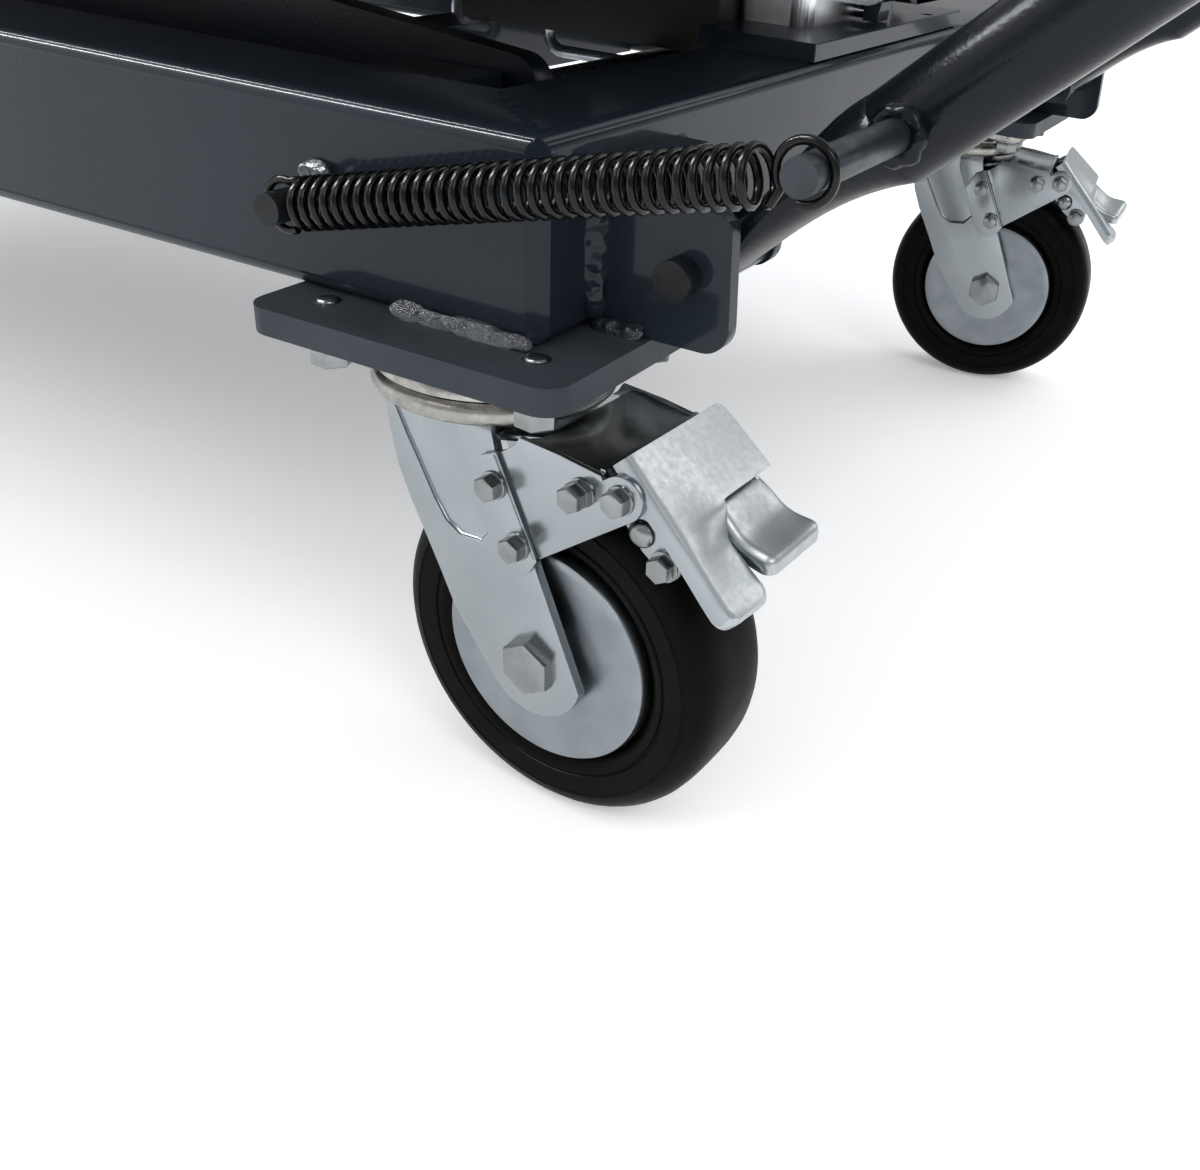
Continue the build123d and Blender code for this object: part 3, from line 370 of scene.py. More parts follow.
# Push handle: round tube bent into a U, coated like the frame, its ends pressed flat.
# The spring bars are welded through it, and a ribbed rubber sleeve covers the cross bar,
# dull beside the coat.
tube_coat = surface("powder_coated_tube", "10151A", "0B0F13", 60.0, 0.22, 0.04, 1.8, 0.10,
                    Specular_IOR_Level=0.2)
dress("handle_tube", tube_coat, 0)
LEG_SIDE = 48
COLLAR_R = 6.6 * MM
COLLAR_T = 3.2 * MM
COLLAR_LUMP = 3.0 * MM
COLLAR_SWELL = 1.3 * MM


def join(bm, other):
    """Adds another bmesh's faces to the first."""
    carry = bpy.data.meshes.new("carry")
    other.to_mesh(carry)
    other.free()
    bm.from_mesh(carry)
    bpy.data.meshes.remove(carry)


collars = bmesh.new()
for _, line in both([spot(PIN_OUT, LEG_SIDE, PIN_UP)]):
    ring = bmesh.new()
    bmesh.ops.create_circle(ring, segments=14, radius=COLLAR_T, matrix=Matrix.Translation((COLLAR_R, 0, 0)))
    bmesh.ops.spin(ring, geom=ring.verts[:] + ring.edges[:], cent=(0, 0, 0), axis=(0, 1, 0), angle=2 * pi,
                   steps=48, use_merge=True)
    ring.normal_update()
    for vert in ring.verts:
        vert.co += vert.normal * (noise.noise(vert.co / COLLAR_LUMP) * COLLAR_SWELL)
    bmesh.ops.translate(ring, verts=ring.verts, vec=line[0])
    join(collars, ring)
finish(collars, "spring_pin_welds", tube_coat, "handle", sharp=60)
dress("handle_feet", tube_coat, 0.5)
grip_rubber = surface("moulded_rubber", "232324", "19191A", 14.0, 0.62, 0.06, 1.2, 0.05,
                      Specular_IOR_Level=0.3)
dress("handle_grip", grip_rubber, 1.2)

# Swivel casters: pressed steel, zinc plated, on plates that the bolts pull up against the pads.
# The plates and races have a warmer, stained plating that grease has dulled in patches.
# A caster is drawn in mm about its axle, near side toward -Y, and then set in its place.
zinc_stained = surface("stained_zinc_plate", "A9A7A2", "8A8781", 6.0, 0.30, 0.08, 1.0, 0.06, Metallic=1.0)
dress("swivel_plates", zinc_stained, 0.7)
AXLE_Z = 75 * MM
TRAIL = 41.3
SWIVEL = {-1: radians(-3.35), 1: radians(8.5)}
STAND = Matrix.Translation((-TRAIL, 0, 0)) @ Matrix.Rotation(pi / 2, 4, "X")


def caster_place(side):
    """Matrix from an axle-centred caster in mm to its place on the table."""
    king = Matrix.Translation((KING_X, side * KING_Y, AXLE_Z)) @ Matrix.Rotation(SWIVEL[side], 4, "Z")
    return king @ Matrix.Scale(MM, 4) @ Matrix.Translation((TRAIL, 0, 0))


def arc(cx, cz, r, start, end, steps):
    """Points along an arc in the X-Z plane, in degrees."""
    return [(cx + r * cos(radians(start + (end - start) * i / steps)),
             cz + r * sin(radians(start + (end - start) * i / steps))) for i in range(steps + 1)]


def slab(bm, corners, y0, y1, rim=0.0, rim_steps=2):
    """Plate from an X-Z outline between two Y values, with its rims rounded."""
    ring = [bm.verts.new((x, y0, z)) for x, z in corners]
    face = bm.faces.new(ring)
    grown = bmesh.ops.extrude_face_region(bm, geom=[face])
    far = [v for v in grown["geom"] if isinstance(v, bmesh.types.BMVert)]
    bmesh.ops.translate(bm, verts=far, vec=(0, y1 - y0, 0))
    if rim:
        edges = {e for v in ring + far for e in v.link_edges}
        rims = [e for e in edges if abs(e.verts[0].co.y - e.verts[1].co.y) < 1e-6]
        round_edges(bm, rims, rim, rim_steps)


def lathe(bm, profile, steps=96):
    """Closed solid of revolution about Y from (radius, y) points."""
    ring = [bm.verts.new((r, y, 0)) for r, y in profile]
    edges = [bm.edges.new((a, b)) for a, b in zip(ring, ring[1:] + ring[:1])]
    bmesh.ops.spin(bm, geom=ring + edges, cent=(0, 0, 0), axis=(0, 1, 0), angle=2 * pi, steps=steps,
                   use_merge=True)


def hexagon(bm, x, z, y0, y1, across, dome):
    """Bolt head or nut along Y, its outer corners turned down."""
    way = 1 if y1 > y0 else -1
    radius = across / 2 / cos(pi / 6)
    place = Matrix.Translation((x, (y0 + y1) / 2, z)) @ Matrix.Rotation(-way * pi / 2, 4, "X")
    made = bmesh.ops.create_cone(bm, cap_ends=True, segments=6, radius1=radius, radius2=radius,
                                 depth=abs(y1 - y0), matrix=place)
    outer = {e for v in made["verts"] for e in v.link_edges if all(abs(w.co.y - y1) < 1e-4 for w in e.verts)}
    round_edges(bm, outer, dome, 2)


def disc(bm, x, z, y0, y1, radius):
    """Round washer or pin along Y with broken edges."""
    place = Matrix.Translation((x, (y0 + y1) / 2, z)) @ Matrix.Rotation(pi / 2, 4, "X")
    made = bmesh.ops.create_cone(bm, cap_ends=True, segments=32, radius1=radius, radius2=radius,
                                 depth=abs(y1 - y0), matrix=place)
    rims = {e for v in made["verts"] for e in v.link_edges if abs(e.verts[0].co.y - e.verts[1].co.y) < 1e-5}
    round_edges(bm, rims, 0.4, 2)


# Fork: one plate pressed into a channel, with a race cup on its crown and two legs that slope
# back to the axle. Each leg has a shallow panel pressed into it near the top.
# Its plating is bright and a little blue, and mirrors the pale floor.
zinc = surface("bright_zinc_plate", "9DA3A6", "92989B", 40.0, 0.25, 0.04, 1.4, 0.012, Metallic=1.0)
LEG_IN = 27.0
LEG_OUT = 31.5
CROWN_TOP = 101.0
BEND_OUT = 9.0
LEG_LINE = [(-70.0, 102.0), (-69.4, 93.0), (-67.6, 80.7), (-64.4, 66.2), (-59.3, 54.0), (-53.6, 42.9)]
LEG_LINE += [(-45.5, 27.2), (-38.2, 12.0)]
LEG_LINE += arc(0, 0, 23.4, 222, 347, 22) + [(-16.1, 85.0), (-20.2, 102.0)]
PRESS = 1.7
PANEL_LINE = [(-66.5, 104.0), (-64.4, 90.7), (-59.3, 80.6), (-52.2, 67.9), (-46.4, 57.2), (-41.0, 49.4)]
PANEL_LINE += [(-34.3, 45.6), (-24.0, 46.4), (-18.0, 54.0), (-26.0, 72.0), (-33.0, 85.8), (-35.2, 104.0)]


def carve(blank, tool, operation):
    """Result of one mesh cut by another, both given as bmeshes."""
    objs = []
    for label, bm in (("blank", blank), ("tool", tool)):
        bmesh.ops.recalc_face_normals(bm, faces=bm.faces)
        mesh = bpy.data.meshes.new(label)
        bm.to_mesh(mesh)
        bm.free()
        objs.append(bpy.data.objects.new(label, mesh))
        bpy.context.scene.collection.objects.link(objs[-1])
    cut = objs[0].modifiers.new("cut", "BOOLEAN")
    cut.object = objs[1]
    cut.operation = operation
    cut.solver = "EXACT"
    bpy.context.view_layer.update()
    result = bmesh.new()
    result.from_object(objs[0], bpy.context.evaluated_depsgraph_get())
    for obj in objs:
        mesh = obj.data
        bpy.data.objects.remove(obj)
        bpy.data.meshes.remove(mesh)
    return result


def fork_mesh():
    """Swivel fork in mm about the axle."""
    foot = -40
    bend_z = CROWN_TOP - BEND_OUT
    bend_y = LEG_OUT - BEND_OUT
    outer = arc(bend_y, bend_z, BEND_OUT, 90, 0, 6) + [(LEG_OUT, foot)]
    inner = [(LEG_IN, foot)] + arc(bend_y, bend_z, BEND_OUT - LEG_OUT + LEG_IN, 0, 90, 6)
    section = [(-y, z) for y, z in reversed(outer)] + outer + inner + [(-y, z) for y, z in reversed(inner)]
    channel = bmesh.new()
    slab(channel, section, -90, 40)
    bmesh.ops.rotate(channel, verts=channel.verts, cent=(0, 0, 0), matrix=Matrix.Rotation(-pi / 2, 3, "Z"))
    cutter = bmesh.new()
    slab(cutter, LEG_LINE, -60, 60)
    bm = carve(channel, cutter, "INTERSECT")
    edges = [e for e in bm.edges if len(e.link_faces) == 2 and e.calc_face_angle() > radians(50)]
    round_edges(bm, edges, 0.7, 2)
    for way in (-1, 1):
        press = bmesh.new()
        slab(press, PANEL_LINE, way * (LEG_OUT - PRESS), way * (LEG_OUT + 2 * PRESS), PRESS, 4)
        bm = carve(bm, press, "DIFFERENCE")
    return bm


def cup_mesh():
    """Race cup on the fork's crown in mm about the axle."""
    cup = [(8.2, 97.0), (40.0, 97.0), (43.6, 97.6), (45.6, 99.0), (46.6, 101.2), (46.5, 103.6)]
    cup += [(45.6, 105.4), (44.2, 106.4), (8.2, 106.4)]
    bm = bmesh.new()
    lathe(bm, cup, 72)
    bmesh.ops.transform(bm, verts=bm.verts, matrix=STAND)
    return bm


# Upper races: rings pressed from sheet that hang under the caster plates and close the ball race
# over the cup. Their plating is stained like the plates'.
RACE = [(30.0, 106.7), (44.0, 106.7), (45.2, 107.4), (45.4, 109.0), (44.4, 111.2), (43.0, 113.9)]
RACE += [(30.0, 113.9)]
races = bmesh.new()
for side in (-1, 1):
    band = bmesh.new()
    lathe(band, RACE)
    bmesh.ops.transform(band, verts=band.verts, matrix=caster_place(side) @ STAND)
    join(races, band)
finish(races, "upper_races", zinc_stained, "base")

# Brake housing: on each side a tab bolted to the leg, stepped in at the leg's front edge
# to a panel beside the wheel, with a web across the top that joins the two panels.
# It is folded from one sheet and plated like the fork, and its web mirrors the dark frame above.
TAB_LINE = [(-14.0, 87.6), (-21.0, 84.5)] + arc(-17.5, 71.5, 9.2, 150, 200, 4)
TAB_LINE += arc(-6.0, 49.6, 9.6, 205, 318, 9) + [(4.4, 49.0)]
PIVOT_U = 39.2
PIVOT_Z = 85.8
PANEL_EDGE = [(-14.2, 87.2), (-11.3, 88.7), (-6.5, 92.6), (-4.6, 95.7), (13.1, 94.6), (30.7, 92.2)]
PANEL_EDGE += [(31.2, 90.6)] + arc(PIVOT_U, PIVOT_Z, 8.6, 125, -52, 12) + [(4.4, 49.2)]
STEP_LINE = [(-16.0, 87.0), (-14.0, 87.6), (4.4, 49.0), (2.4, 49.0)]
PANEL_IN = 30.1
PANEL_OUT = 32.6
TAB_OUT = 34.0
WEB = [(0.4, 92.3), (0.4, 94.8), (28.0, 92.1), (28.8, 93.6), (30.8, 93.4), (30.8, 89.6)]
FLAP = [(-21.0, 87.0), (-21.0, 89.5), (1.0, 94.6), (1.0, 92.1)]
FLAP_OUT = 25.0
WASHER = 1.3
SPACER = 4.4
HOUSE_BOLTS = ((-15.0, 74.4, TAB_OUT, WASHER), (-4.4, 52.6, TAB_OUT, WASHER),
               (23.2, 83.6, PANEL_OUT, SPACER), (PIVOT_U, PIVOT_Z, PANEL_OUT, WASHER))
AXLE_HEX = 20.6
AXLE_HEAD = 5.2
NUT_HEX = 19.0
NUT_T = 8.0
AXLE_WASHER = 1.6


def housing_mesh():
    """Brake housing in mm about the axle."""
    bm = bmesh.new()
    for way in (-1, 1):
        slab(bm, TAB_LINE, way * LEG_OUT, way * TAB_OUT, 0.5)
        slab(bm, STEP_LINE, way * PANEL_IN, way * TAB_OUT, 0.4)
        slab(bm, PANEL_EDGE, way * PANEL_IN, way * PANEL_OUT, 0.5)
    slab(bm, WEB, -PANEL_IN, PANEL_IN, 0.5)
    slab(bm, FLAP, -FLAP_OUT, FLAP_OUT, 0.4)
    return bm


def fasteners_mesh():
    """Axle bolt, housing bolts with washers and the pedal's pivot bolt, in mm about the axle."""
    bm = bmesh.new()
    nut_seat = LEG_OUT + AXLE_WASHER
    hexagon(bm, 0, 0, -LEG_OUT, -LEG_OUT - AXLE_HEAD, AXLE_HEX, 1.3)
    disc(bm, 0, 0, LEG_OUT, nut_seat, 12.0)
    hexagon(bm, 0, 0, nut_seat, nut_seat + NUT_T, NUT_HEX, 1.2)
    disc(bm, 0, 0, -LEG_OUT, LEG_OUT + 12.0, 6.0)
    for way in (-1, 1):
        for x, z, seat, under in HOUSE_BOLTS:
            disc(bm, x, z, way * (PANEL_IN + 0.3), way * (seat + WASHER), 5.6)
            if under > WASHER:
                hexagon(bm, x, z, way * (seat + WASHER), way * (seat + under), 9.8, 0.8)
            hexagon(bm, x, z, way * (seat + under), way * (seat + under + 5.2), 9.0, 1.3)
    disc(bm, PIVOT_U, PIVOT_Z, -PANEL_IN, PANEL_IN, 4.0)
    return bm


# Lock pedal: thick pressed plate on two cheeks, with a lobe on the near half that reaches
# out over the wheel. The release lip comes out from under the far half, on the pedal's cross pin.
# The flat faces have cloudy plating. The sides, drawn smooth by the press, get the fork's glossier plating,
# whose darker tone is painted shade that holds down the lamps falling on them.
zinc_cloudy = surface("cloudy_zinc_plate", "B4B8B9", "A8ADAF", 2.4, 0.36, 0.05, 0.8, 0.03, Metallic=1.0)
CORNER_TOP = 3.6
CORNER_LOW = 1.2


def rounded(line, rounds=3):
    """The line with its corners cut again and again, so that it bends smoothly."""
    for _ in range(rounds):
        cut = [line[0]]
        for (ax, az), (bx, bz) in zip(line, line[1:]):
            cut.append((0.75 * ax + 0.25 * bx, 0.75 * az + 0.25 * bz))
            cut.append((0.25 * ax + 0.75 * bx, 0.25 * az + 0.75 * bz))
        line = cut + [line[-1]]
    return line


def walk(line, far):
    """Point and upward normal at a distance along a line."""
    for (ax, az), (bx, bz) in zip(line, line[1:]):
        step = hypot(bx - ax, bz - az)
        if far <= step:
            break
        far -= step
    return ax + (bx - ax) * far / step, az + (bz - az) * far / step, -(bz - az) / step, (bx - ax) / step


def line_length(line):
    """Length of a line of points."""
    return sum(hypot(b[0] - a[0], b[1] - a[1]) for a, b in zip(line, line[1:]))


def tray(bm, line, near, left, right, roll, skirt, corner, thick, cut=0.0, wide=0.0):
    """Pressed sheet between two Y values, along one X-Z line at its right side and another at its left,
    its sides and tip rolled down into a skirt. Up to the cut, a distance along the first line,
    the sheet goes on across to the wide Y value."""
    length = line_length(line)
    near_length = line_length(near)
    half = (right - left) / 2
    sheet = bmesh.new()
    bmesh.ops.create_grid(sheet, x_segments=60, y_segments=48, size=0.5)
    if cut:
        beyond = [f for f in sheet.faces if min(f.calc_center_median().xy) > 0]
        bmesh.ops.delete(sheet, geom=beyond, context="FACES")
    for vert in sheet.verts:
        a, b = vert.co.x + 0.5, vert.co.y + 0.5
        if cut:
            far = 2 * a * cut if a < 0.5 else cut + (2 * a - 1) * (length + skirt - cut)
            across = left - skirt + 2 * b * (right - left + skirt)
            if b >= 0.5:
                across = right + (2 * b - 1) * (wide - right)
        else:
            far = a * (length + skirt)
            across = left - skirt + b * (right - left + 2 * skirt)
        off = across - left - half
        past_tip = max(far - length + corner, 0.0)
        past_side = max(abs(off) - half + corner, 0.0)
        if cut and off > 0 and (far < cut + 0.1 or across > right):
            past_side = 0.0
        free = CORNER_TOP if far < cut / 2 else CORNER_LOW
        past_edge = max(across - wide + free, 0.0) if cut else 0.0
        past_end = max(free - far, far - cut + free, 0.0) if past_edge else 0.0
        if past_edge and past_end:
            keep = max(past_edge, past_end) / hypot(past_edge, past_end)
            across -= past_edge * (1 - keep)
            far += past_end * (1 - keep) * (1 if far < cut / 2 else -1)
        out = max(past_tip, past_side)
        drop = 0.0
        if out > 0:
            keep = min(out, corner) / hypot(past_tip, past_side)
            far -= past_tip * (1 - keep)
            across -= past_side * (1 - keep) * (1 if off > 0 else -1)
        if out > corner:
            drop = roll + out - corner
        elif out > corner - roll:
            drop = roll - (roll * roll - (out - corner + roll) ** 2) ** 0.5
        at = min(far / length, 0.9999)
        share = min(max((right - across) / (right - left), 0.0), 1.0)
        share *= share * (3 - 2 * share)
        ends = zip(walk(line, at * length), walk(near, at * near_length))
        x, z, nx, nz = [a + (b - a) * share for a, b in ends]
        vert.co = (x - nx * drop, across, z - nz * drop)
    bmesh.ops.remove_doubles(sheet, verts=sheet.verts, dist=0.02)
    bmesh.ops.recalc_face_normals(sheet, faces=sheet.faces)
    if sum(f.normal.z * f.calc_area() for f in sheet.faces) < 0:
        bmesh.ops.reverse_faces(sheet, faces=sheet.faces)
    sheet.normal_update()
    under = bmesh.ops.extrude_face_region(sheet, geom=sheet.faces[:])["geom"]
    for vert in under:
        if isinstance(vert, bmesh.types.BMVert):
            vert.co -= vert.normal * thick
    join(bm, sheet)


LOBE_LINE = rounded([(39.2, 101.2), (51.0, 91.8), (62.6, 82.4), (64.6, 80.2), (65.2, 73.5), (65.8, 66.8),
                     (71.0, 62.4), (78.0, 56.8), (86.4, 50.2)])
LOBE_NEAR = rounded([(39.2, 101.2), (41.8, 98.4), (54.1, 85.2), (65.6, 73.4), (71.2, 67.2), (78.0, 59.4),
                     (86.0, 51.0)])
CROSS_U = 54.5
CROSS_Z = 62.6
CROSS_PIN_Z = 63.0
RIVET_PLACE = Matrix.Translation((44.6, -26.6, 72.0)) @ Matrix.Diagonal((5.4, 3.4, 5.4, 1))
CHEEK_IN = 24.4
CHEEK_OUT = 26.6


def pedal_mesh():
    """Lock pedal in mm about the axle."""
    bm = bmesh.new()
    tray(bm, LOBE_LINE, LOBE_NEAR, left=-30.4, right=-1.5, roll=3.0, skirt=4.4, corner=7.0, thick=2.6,
         cut=30.4, wide=31.0)
    cheek = arc(36.5, 83.5, 7.6, 100, 215, 8) + [(38.0, 72.4), (45.0, 64.6), (49.6, 61.5)]
    cheek += arc(CROSS_U, CROSS_Z, 6.2, 215, 330, 8) + [(61.0, 66.0)]
    slab(bm, cheek + [(60.0, 74.5), (41.0, 94.0)], -CHEEK_OUT, -CHEEK_IN, 0.4)
    slab(bm, cheek + [(61.0, 78.0), (41.0, 95.0)], CHEEK_IN, CHEEK_OUT, 0.4)
    return bm


def pedal_pins_mesh():
    """Pedal's rivet, cross pin and its bolt head in mm about the axle."""
    bm = bmesh.new()
    disc(bm, CROSS_U, CROSS_Z, -28.0, -26.4, 6.0)
    hexagon(bm, CROSS_U, CROSS_Z, -28.0, -32.4, 9.0, 1.2)
    bmesh.ops.create_uvsphere(bm, u_segments=40, v_segments=24, radius=1.0, matrix=RIVET_PLACE)
    disc(bm, CROSS_U, CROSS_PIN_Z, -26.5, 26.5, 3.0)
    return bm


LIP_LINE = rounded([(55.0, 79.6), (60.5, 78.4), (66.5, 74.6), (72.0, 70.4), (77.0, 68.8), (82.5, 68.4),
                    (88.2, 68.2)])
LIP_NEAR = rounded([(55.0, 77.4), (60.0, 75.4), (64.5, 70.8), (68.4, 66.8), (73.0, 64.4), (78.5, 63.0),
                    (84.4, 62.0)])


def lip_mesh():
    """Release lever's lip in mm about the axle."""
    bm = bmesh.new()
    tray(bm, LIP_LINE, LIP_NEAR, left=-0.6, right=29.0, roll=3.6, skirt=3.4, corner=5.0, thick=2.4)
    eye = arc(CROSS_U, CROSS_PIN_Z, 4.2, 150, 390, 10) + [(60.0, 74.0), (56.6, 75.6)]
    slab(bm, eye, 8.0, 23.6, 0.3)
    return bm


# Wheels: a black solid rubber tyre with ring grooves on its wall, round a hub that is closed
# on each side by a dished zinc disc with a rolled rim and a gap round it.
# The rubber is moulded and matte, and the pressed disc is satin with soft clouds.
rubber = surface("black_rubber_tyre", "0A0908", "060606", 18.0, 0.42, 0.06, 1.0, 0.03,
                 Specular_IOR_Level=0.05)
zinc_satin = surface("satin_zinc_disc", "8D9397", "81878B", 14.0, 0.33, 0.05, 0.9, 0.03, Metallic=1.0)
HUB_R = 49 * MM


def tyre_mesh():
    """Tyre in mm about its axle."""
    wall = [(47.4, 16.0), (48.2, 18.6), (49.6, 20.6), (51.4, 22.2), (53.0, 22.9), (54.4, 22.9), (54.9, 22.2),
            (55.6, 22.2), (56.1, 23.0), (60.5, 23.4), (63.4, 23.5), (64.0, 22.9), (64.8, 22.9), (65.3, 23.3),
            (67.6, 22.7), (69.8, 21.5), (71.8, 19.6), (73.3, 17.2), (74.3, 14.2), (74.85, 9.5), (75.0, 4.5)]
    bm = bmesh.new()
    lathe(bm, [(r, -y) for r, y in wall] + wall[::-1], 128)
    return bm


def hub_mesh():
    """Hub with its two discs in mm about its axle."""
    face = [(6.1, 26.3), (12.5, 26.3), (14.0, 25.9), (15.0, 24.2), (18.0, 23.4), (26.0, 23.2), (36.0, 23.9),
            (42.5, 24.5), (45.0, 24.6), (46.4, 24.1), (47.0, 23.0), (47.2, 20.5), (47.2, 15.8)]
    bm = bmesh.new()
    lathe(bm, [(r, -y) for r, y in face] + face[::-1], 128)
    return bm


# Every piece of the two sides' casters: its shape, label, finish, body, the node it replaces, its
# place and its slot. The fixed wheels at the far end have the same tyres and discs.
# The pedal and lip give their press-drawn flanks, the faces turned across the table, the fork's glossier and
# darker plating; the darker tone is painted shade against the lamps on them.
SHADED_FLANK_NORMAL = 0.85
for side, name in ((-1, "left"), (1, "right")):
    place = caster_place(side)
    fixed_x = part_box(name + "_fixed_hub")[0].x + HUB_R
    fixed = Matrix.Translation((fixed_x, side * KING_Y, AXLE_Z)) @ Matrix.Scale(MM, 4)
    table = ((fork_mesh, "fork_shell", zinc, "caster", "fork", place, "zinc"),
             (cup_mesh, "race_cup", zinc_stained, "caster", None, place, "zinc"),
             (housing_mesh, "housing_shell", zinc, "caster", "brake_housing", place, "zinc"),
             (fasteners_mesh, "caster_fasteners", zinc_bolt, "caster", "fork_bolts", place, "zinc"),
             (tyre_mesh, "tyre_rubber", rubber, "swivel_wheel", "swivel_tyre", place, "tyre"),
             (hub_mesh, "hub_disc", zinc_satin, "swivel_wheel", "swivel_hub", place, "zinc"),
             (pedal_mesh, "pedal_plate", zinc_cloudy, "lock", "lock_pedal", place, "zinc"),
             (pedal_pins_mesh, "pedal_pins", zinc_bolt, "lock", None, place, "zinc"),
             (lip_mesh, "release_lip", zinc_cloudy, "release", "release_lever", place, "zinc"),
             (tyre_mesh, "fixed_tyre_rubber", rubber, "fixed_wheel", "fixed_tyre", fixed, "tyre"),
             (hub_mesh, "fixed_hub_disc", zinc_satin, "fixed_wheel", "fixed_hub", fixed, "zinc"))
    for make, label, coat, body, node, where, slot in table:
        shape = make()
        bmesh.ops.transform(shape, verts=shape.verts, matrix=where)
        replaced = [name + "_" + node] if node else ()
        piece = finish(shape, name + "_" + label, coat, name + "_" + body, replaced)
        # Faces turned along Y take the darker fork plating: painted shade on the sides that the lamps light
        # most.
        if coat == zinc_cloudy:
            piece.data.materials.append(zinc)
            for face in piece.data.polygons:
                face.material_index = int(abs(face.normal.y) > SHADED_FLANK_NORMAL)
            soften(piece, 0.6, 55, False)

# Fixed casters at the far end: folded steel forks with the wheel straight below the plate, on
# plain axle bolts. They have the swivel casters' bright plating, and its clean edges.
dress("fixed_forks", zinc, 0.8)
dress("fixed_axles", zinc_bolt, 0.6)

# Scissor: flat steel arms in two crossed pairs, painted with the frame, on turned shafts,
# with cast nylon rollers at the ends that slide. The coat is dark and finely pebbled,
# the shafts shine and the rollers look waxy.
arm_coat = surface("powder_coated_arm", "141A22", "0F141A", 80.0, 0.34, 0.05, 1.7, 0.08,
                   Specular_IOR_Level=0.22)
for name in ("outer_arms", "inner_arms"):
    dress(name, arm_coat, 1.0)
shaft_zinc = surface("turned_zinc_shaft", "C9CDD2", "9EA4AB", 12.0, 0.30, 0.06, 1.0, 0.02, Metallic=1.0)
for name in ("outer_shafts", "centre_pins"):
    dress(name, shaft_zinc, 0.8)
dress("inner_shafts", arm_coat, 0.8)
nylon = surface("cast_nylon", "E3DFD2", "D3CEBF", 16.0, 0.48, 0.05, 1.5, 0.03, Subsurface_Weight=0.1)
for name in ("left_lower_roller", "right_lower_roller", "left_upper_roller", "right_upper_roller"):
    dress(name, nylon, 1.0)

# Deck: a folded and welded steel tray over ribs and roller rails. Its powder coat is a little
# greyer than the frame's, so that the wide top reads as one flat sheet.
deck_coat = surface("powder_coated_deck", "1E242B", "1A2026", 60.0, 0.34, 0.05, 1.8, 0.08,
                    Specular_IOR_Level=0.22)
for name in ("deck_plate", "deck_skirt"):
    dress(name, deck_coat, 1.2)
dress("deck_frame", deck_coat, 0.8)

# Foot pump and lift cylinder: an alloy block on a coated plate, a black tank, a steel feed pipe
# and a black barrel with a chromed rod. The pedals are coated like the frame.
# The machined block is pale and satin, and the rod is a mirror.
dress("pump_plate", powder_coat, 0.6)
alloy = surface("machined_alloy", "E2E3E4", "CDCFD1", 8.0, 0.34, 0.05, 0.6, 0.02, Metallic=1.0)
dress("pump_block", alloy, 0.8)
dress("oil_tank", black_coat, 2.5)
dress("cylinder_barrel", black_coat, 1.0)
chrome = surface("hard_chrome", "E6E7E9", "DADCDF", 30.0, 0.10, 0.02, 2.0, 0.002, Metallic=1.0)
dress("cylinder_rod", chrome, 0.8)
dress("pressure_pipe", shaft_zinc, 0)
dress("pump_plunger", chrome, 0.5)
for name in ("pump_pedal", "lowering_pedal"):
    dress(name, powder_coat, 1.2)

# Room: a pale floor that the table stands on, broad soft lamps and a pale surround
# that shiny pieces see darker, like the walls of a studio.
floor_paint = bpy.data.materials.new("pale_floor")
floor_paint.use_nodes = True
FLOOR_LOOK = {"Base Color": linear("FFFFFF"), "Roughness": 0.9, "Emission Color": linear("FFFFFF"),
              "Emission Strength": 0.22}
for socket, value in FLOOR_LOOK.items():
    floor_paint.node_tree.nodes["Principled BSDF"].inputs[socket].default_value = value
ground = bmesh.new()
bmesh.ops.create_grid(ground, x_segments=1, y_segments=1, size=14.0)
floor_mesh = bpy.data.meshes.new("floor")
ground.to_mesh(floor_mesh)
ground.free()
floor_mesh.materials.append(floor_paint)
floor = bpy.data.objects.new("floor", floor_mesh)
bpy.context.scene.collection.objects.link(floor)

world = bpy.data.worlds.new("pale_surround")
world.use_nodes = True
sky = world.node_tree.nodes["Background"]
sky.inputs["Color"].default_value = (0.95, 0.97, 1.0, 1.0)
rays = add(world.node_tree, "ShaderNodeLightPath", {})
strength = {"Value": rays.outputs["Is Glossy Ray"], "To Min": 1.0, "To Max": 0.58}
glow = add(world.node_tree, "ShaderNodeMapRange", strength)
world.node_tree.links.new(glow.outputs["Result"], sky.inputs["Strength"])
bpy.context.scene.world = world
bpy.context.scene.view_settings.view_transform = "Standard"


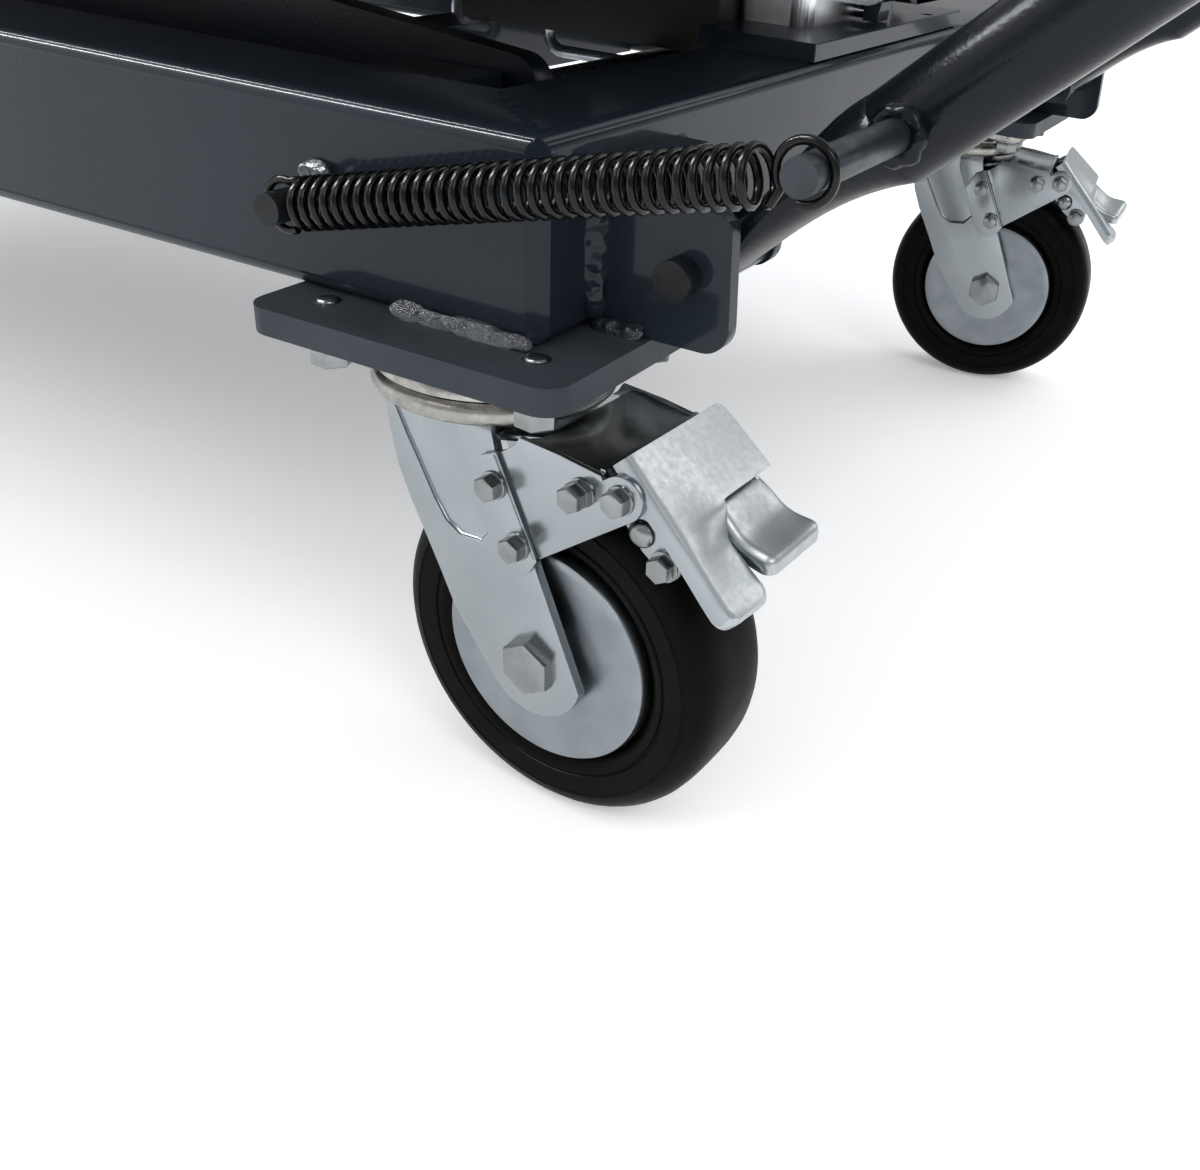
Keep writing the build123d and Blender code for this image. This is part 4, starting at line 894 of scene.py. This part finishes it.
def lamp(name, where, aim, wide, deep, power, tint="FFFFFF"):
    """Flat soft lamp that points at a spot."""
    data = bpy.data.lights.new(name, "AREA")
    data.shape = "RECTANGLE"
    data.size = wide
    data.size_y = deep
    data.energy = power
    data.color = linear(tint)[:3]
    obj = bpy.data.objects.new(name, data)
    obj.location = where
    obj.rotation_euler = (Vector(aim) - Vector(where)).to_track_quat("-Z", "Y").to_euler()
    bpy.context.scene.collection.objects.link(obj)
    return obj


lamp("key", (-0.8, -2.6, 2.4), (0.3, -0.2, 0.2), 1.2, 1.2, 16)
lamp("low_fill", (-2.4, -2.2, 0.9), (0.2, -0.2, 0.1), 2.4, 2.4, 12)
lamp("front", (2.4, -1.6, 2.2), (0.5, -0.1, 0.1), 1.1, 1.1, 18)
for name, across, high in (("upper_strip", -0.75, 1.9), ("lower_strip", -1.05, 1.85)):
    strip = lamp(name, (-1.2, across, high), (-1.2, across, 0.0), 2.4, 0.08, 60, "F6F9FF")
    strip.visible_diffuse = False
lamp("rim", (2.2, 2.4, 2.2), (0.5, 0.0, 0.1), 2.2, 2.2, 25)

# Camera: close to the near corner at the handle end, a little above the frame. Its place, turn
# and lens are those worked out from the frame's straight edges, with the picture's centre shifted.
EYE = spot(222.4, -321.4, 154.4)
YAW = radians(115.31)
PITCH = radians(-29.16)
ROLL = radians(4.88)
FOCAL_PX = 1229.4
IMAGE_W = 1200.0
IMAGE_H = 1170.0
SENSOR_W = 36.0
CENTRE_PX = (715.2, 525.7)
ahead = Vector((cos(YAW) * cos(PITCH), sin(YAW) * cos(PITCH), sin(PITCH)))
level = Vector((sin(YAW), -cos(YAW), 0))
above = level.cross(ahead)
right = level * cos(ROLL) + above * sin(ROLL)
top = above * cos(ROLL) - level * sin(ROLL)
lens = bpy.data.cameras.new("camera")
lens.sensor_fit = "HORIZONTAL"
lens.sensor_width = SENSOR_W
lens.lens = FOCAL_PX / IMAGE_W * SENSOR_W
lens.shift_x = (IMAGE_W / 2 - CENTRE_PX[0]) / IMAGE_W
lens.shift_y = (CENTRE_PX[1] - IMAGE_H / 2) / IMAGE_W
lens.clip_start = 0.01
camera = bpy.data.objects.new("camera", lens)
camera.matrix_world = Matrix(((right.x, top.x, -ahead.x, EYE.x),
                              (right.y, top.y, -ahead.y, EYE.y),
                              (right.z, top.z, -ahead.z, EYE.z),
                              (0, 0, 0, 1)))
bpy.context.scene.collection.objects.link(camera)
bpy.context.scene.camera = camera
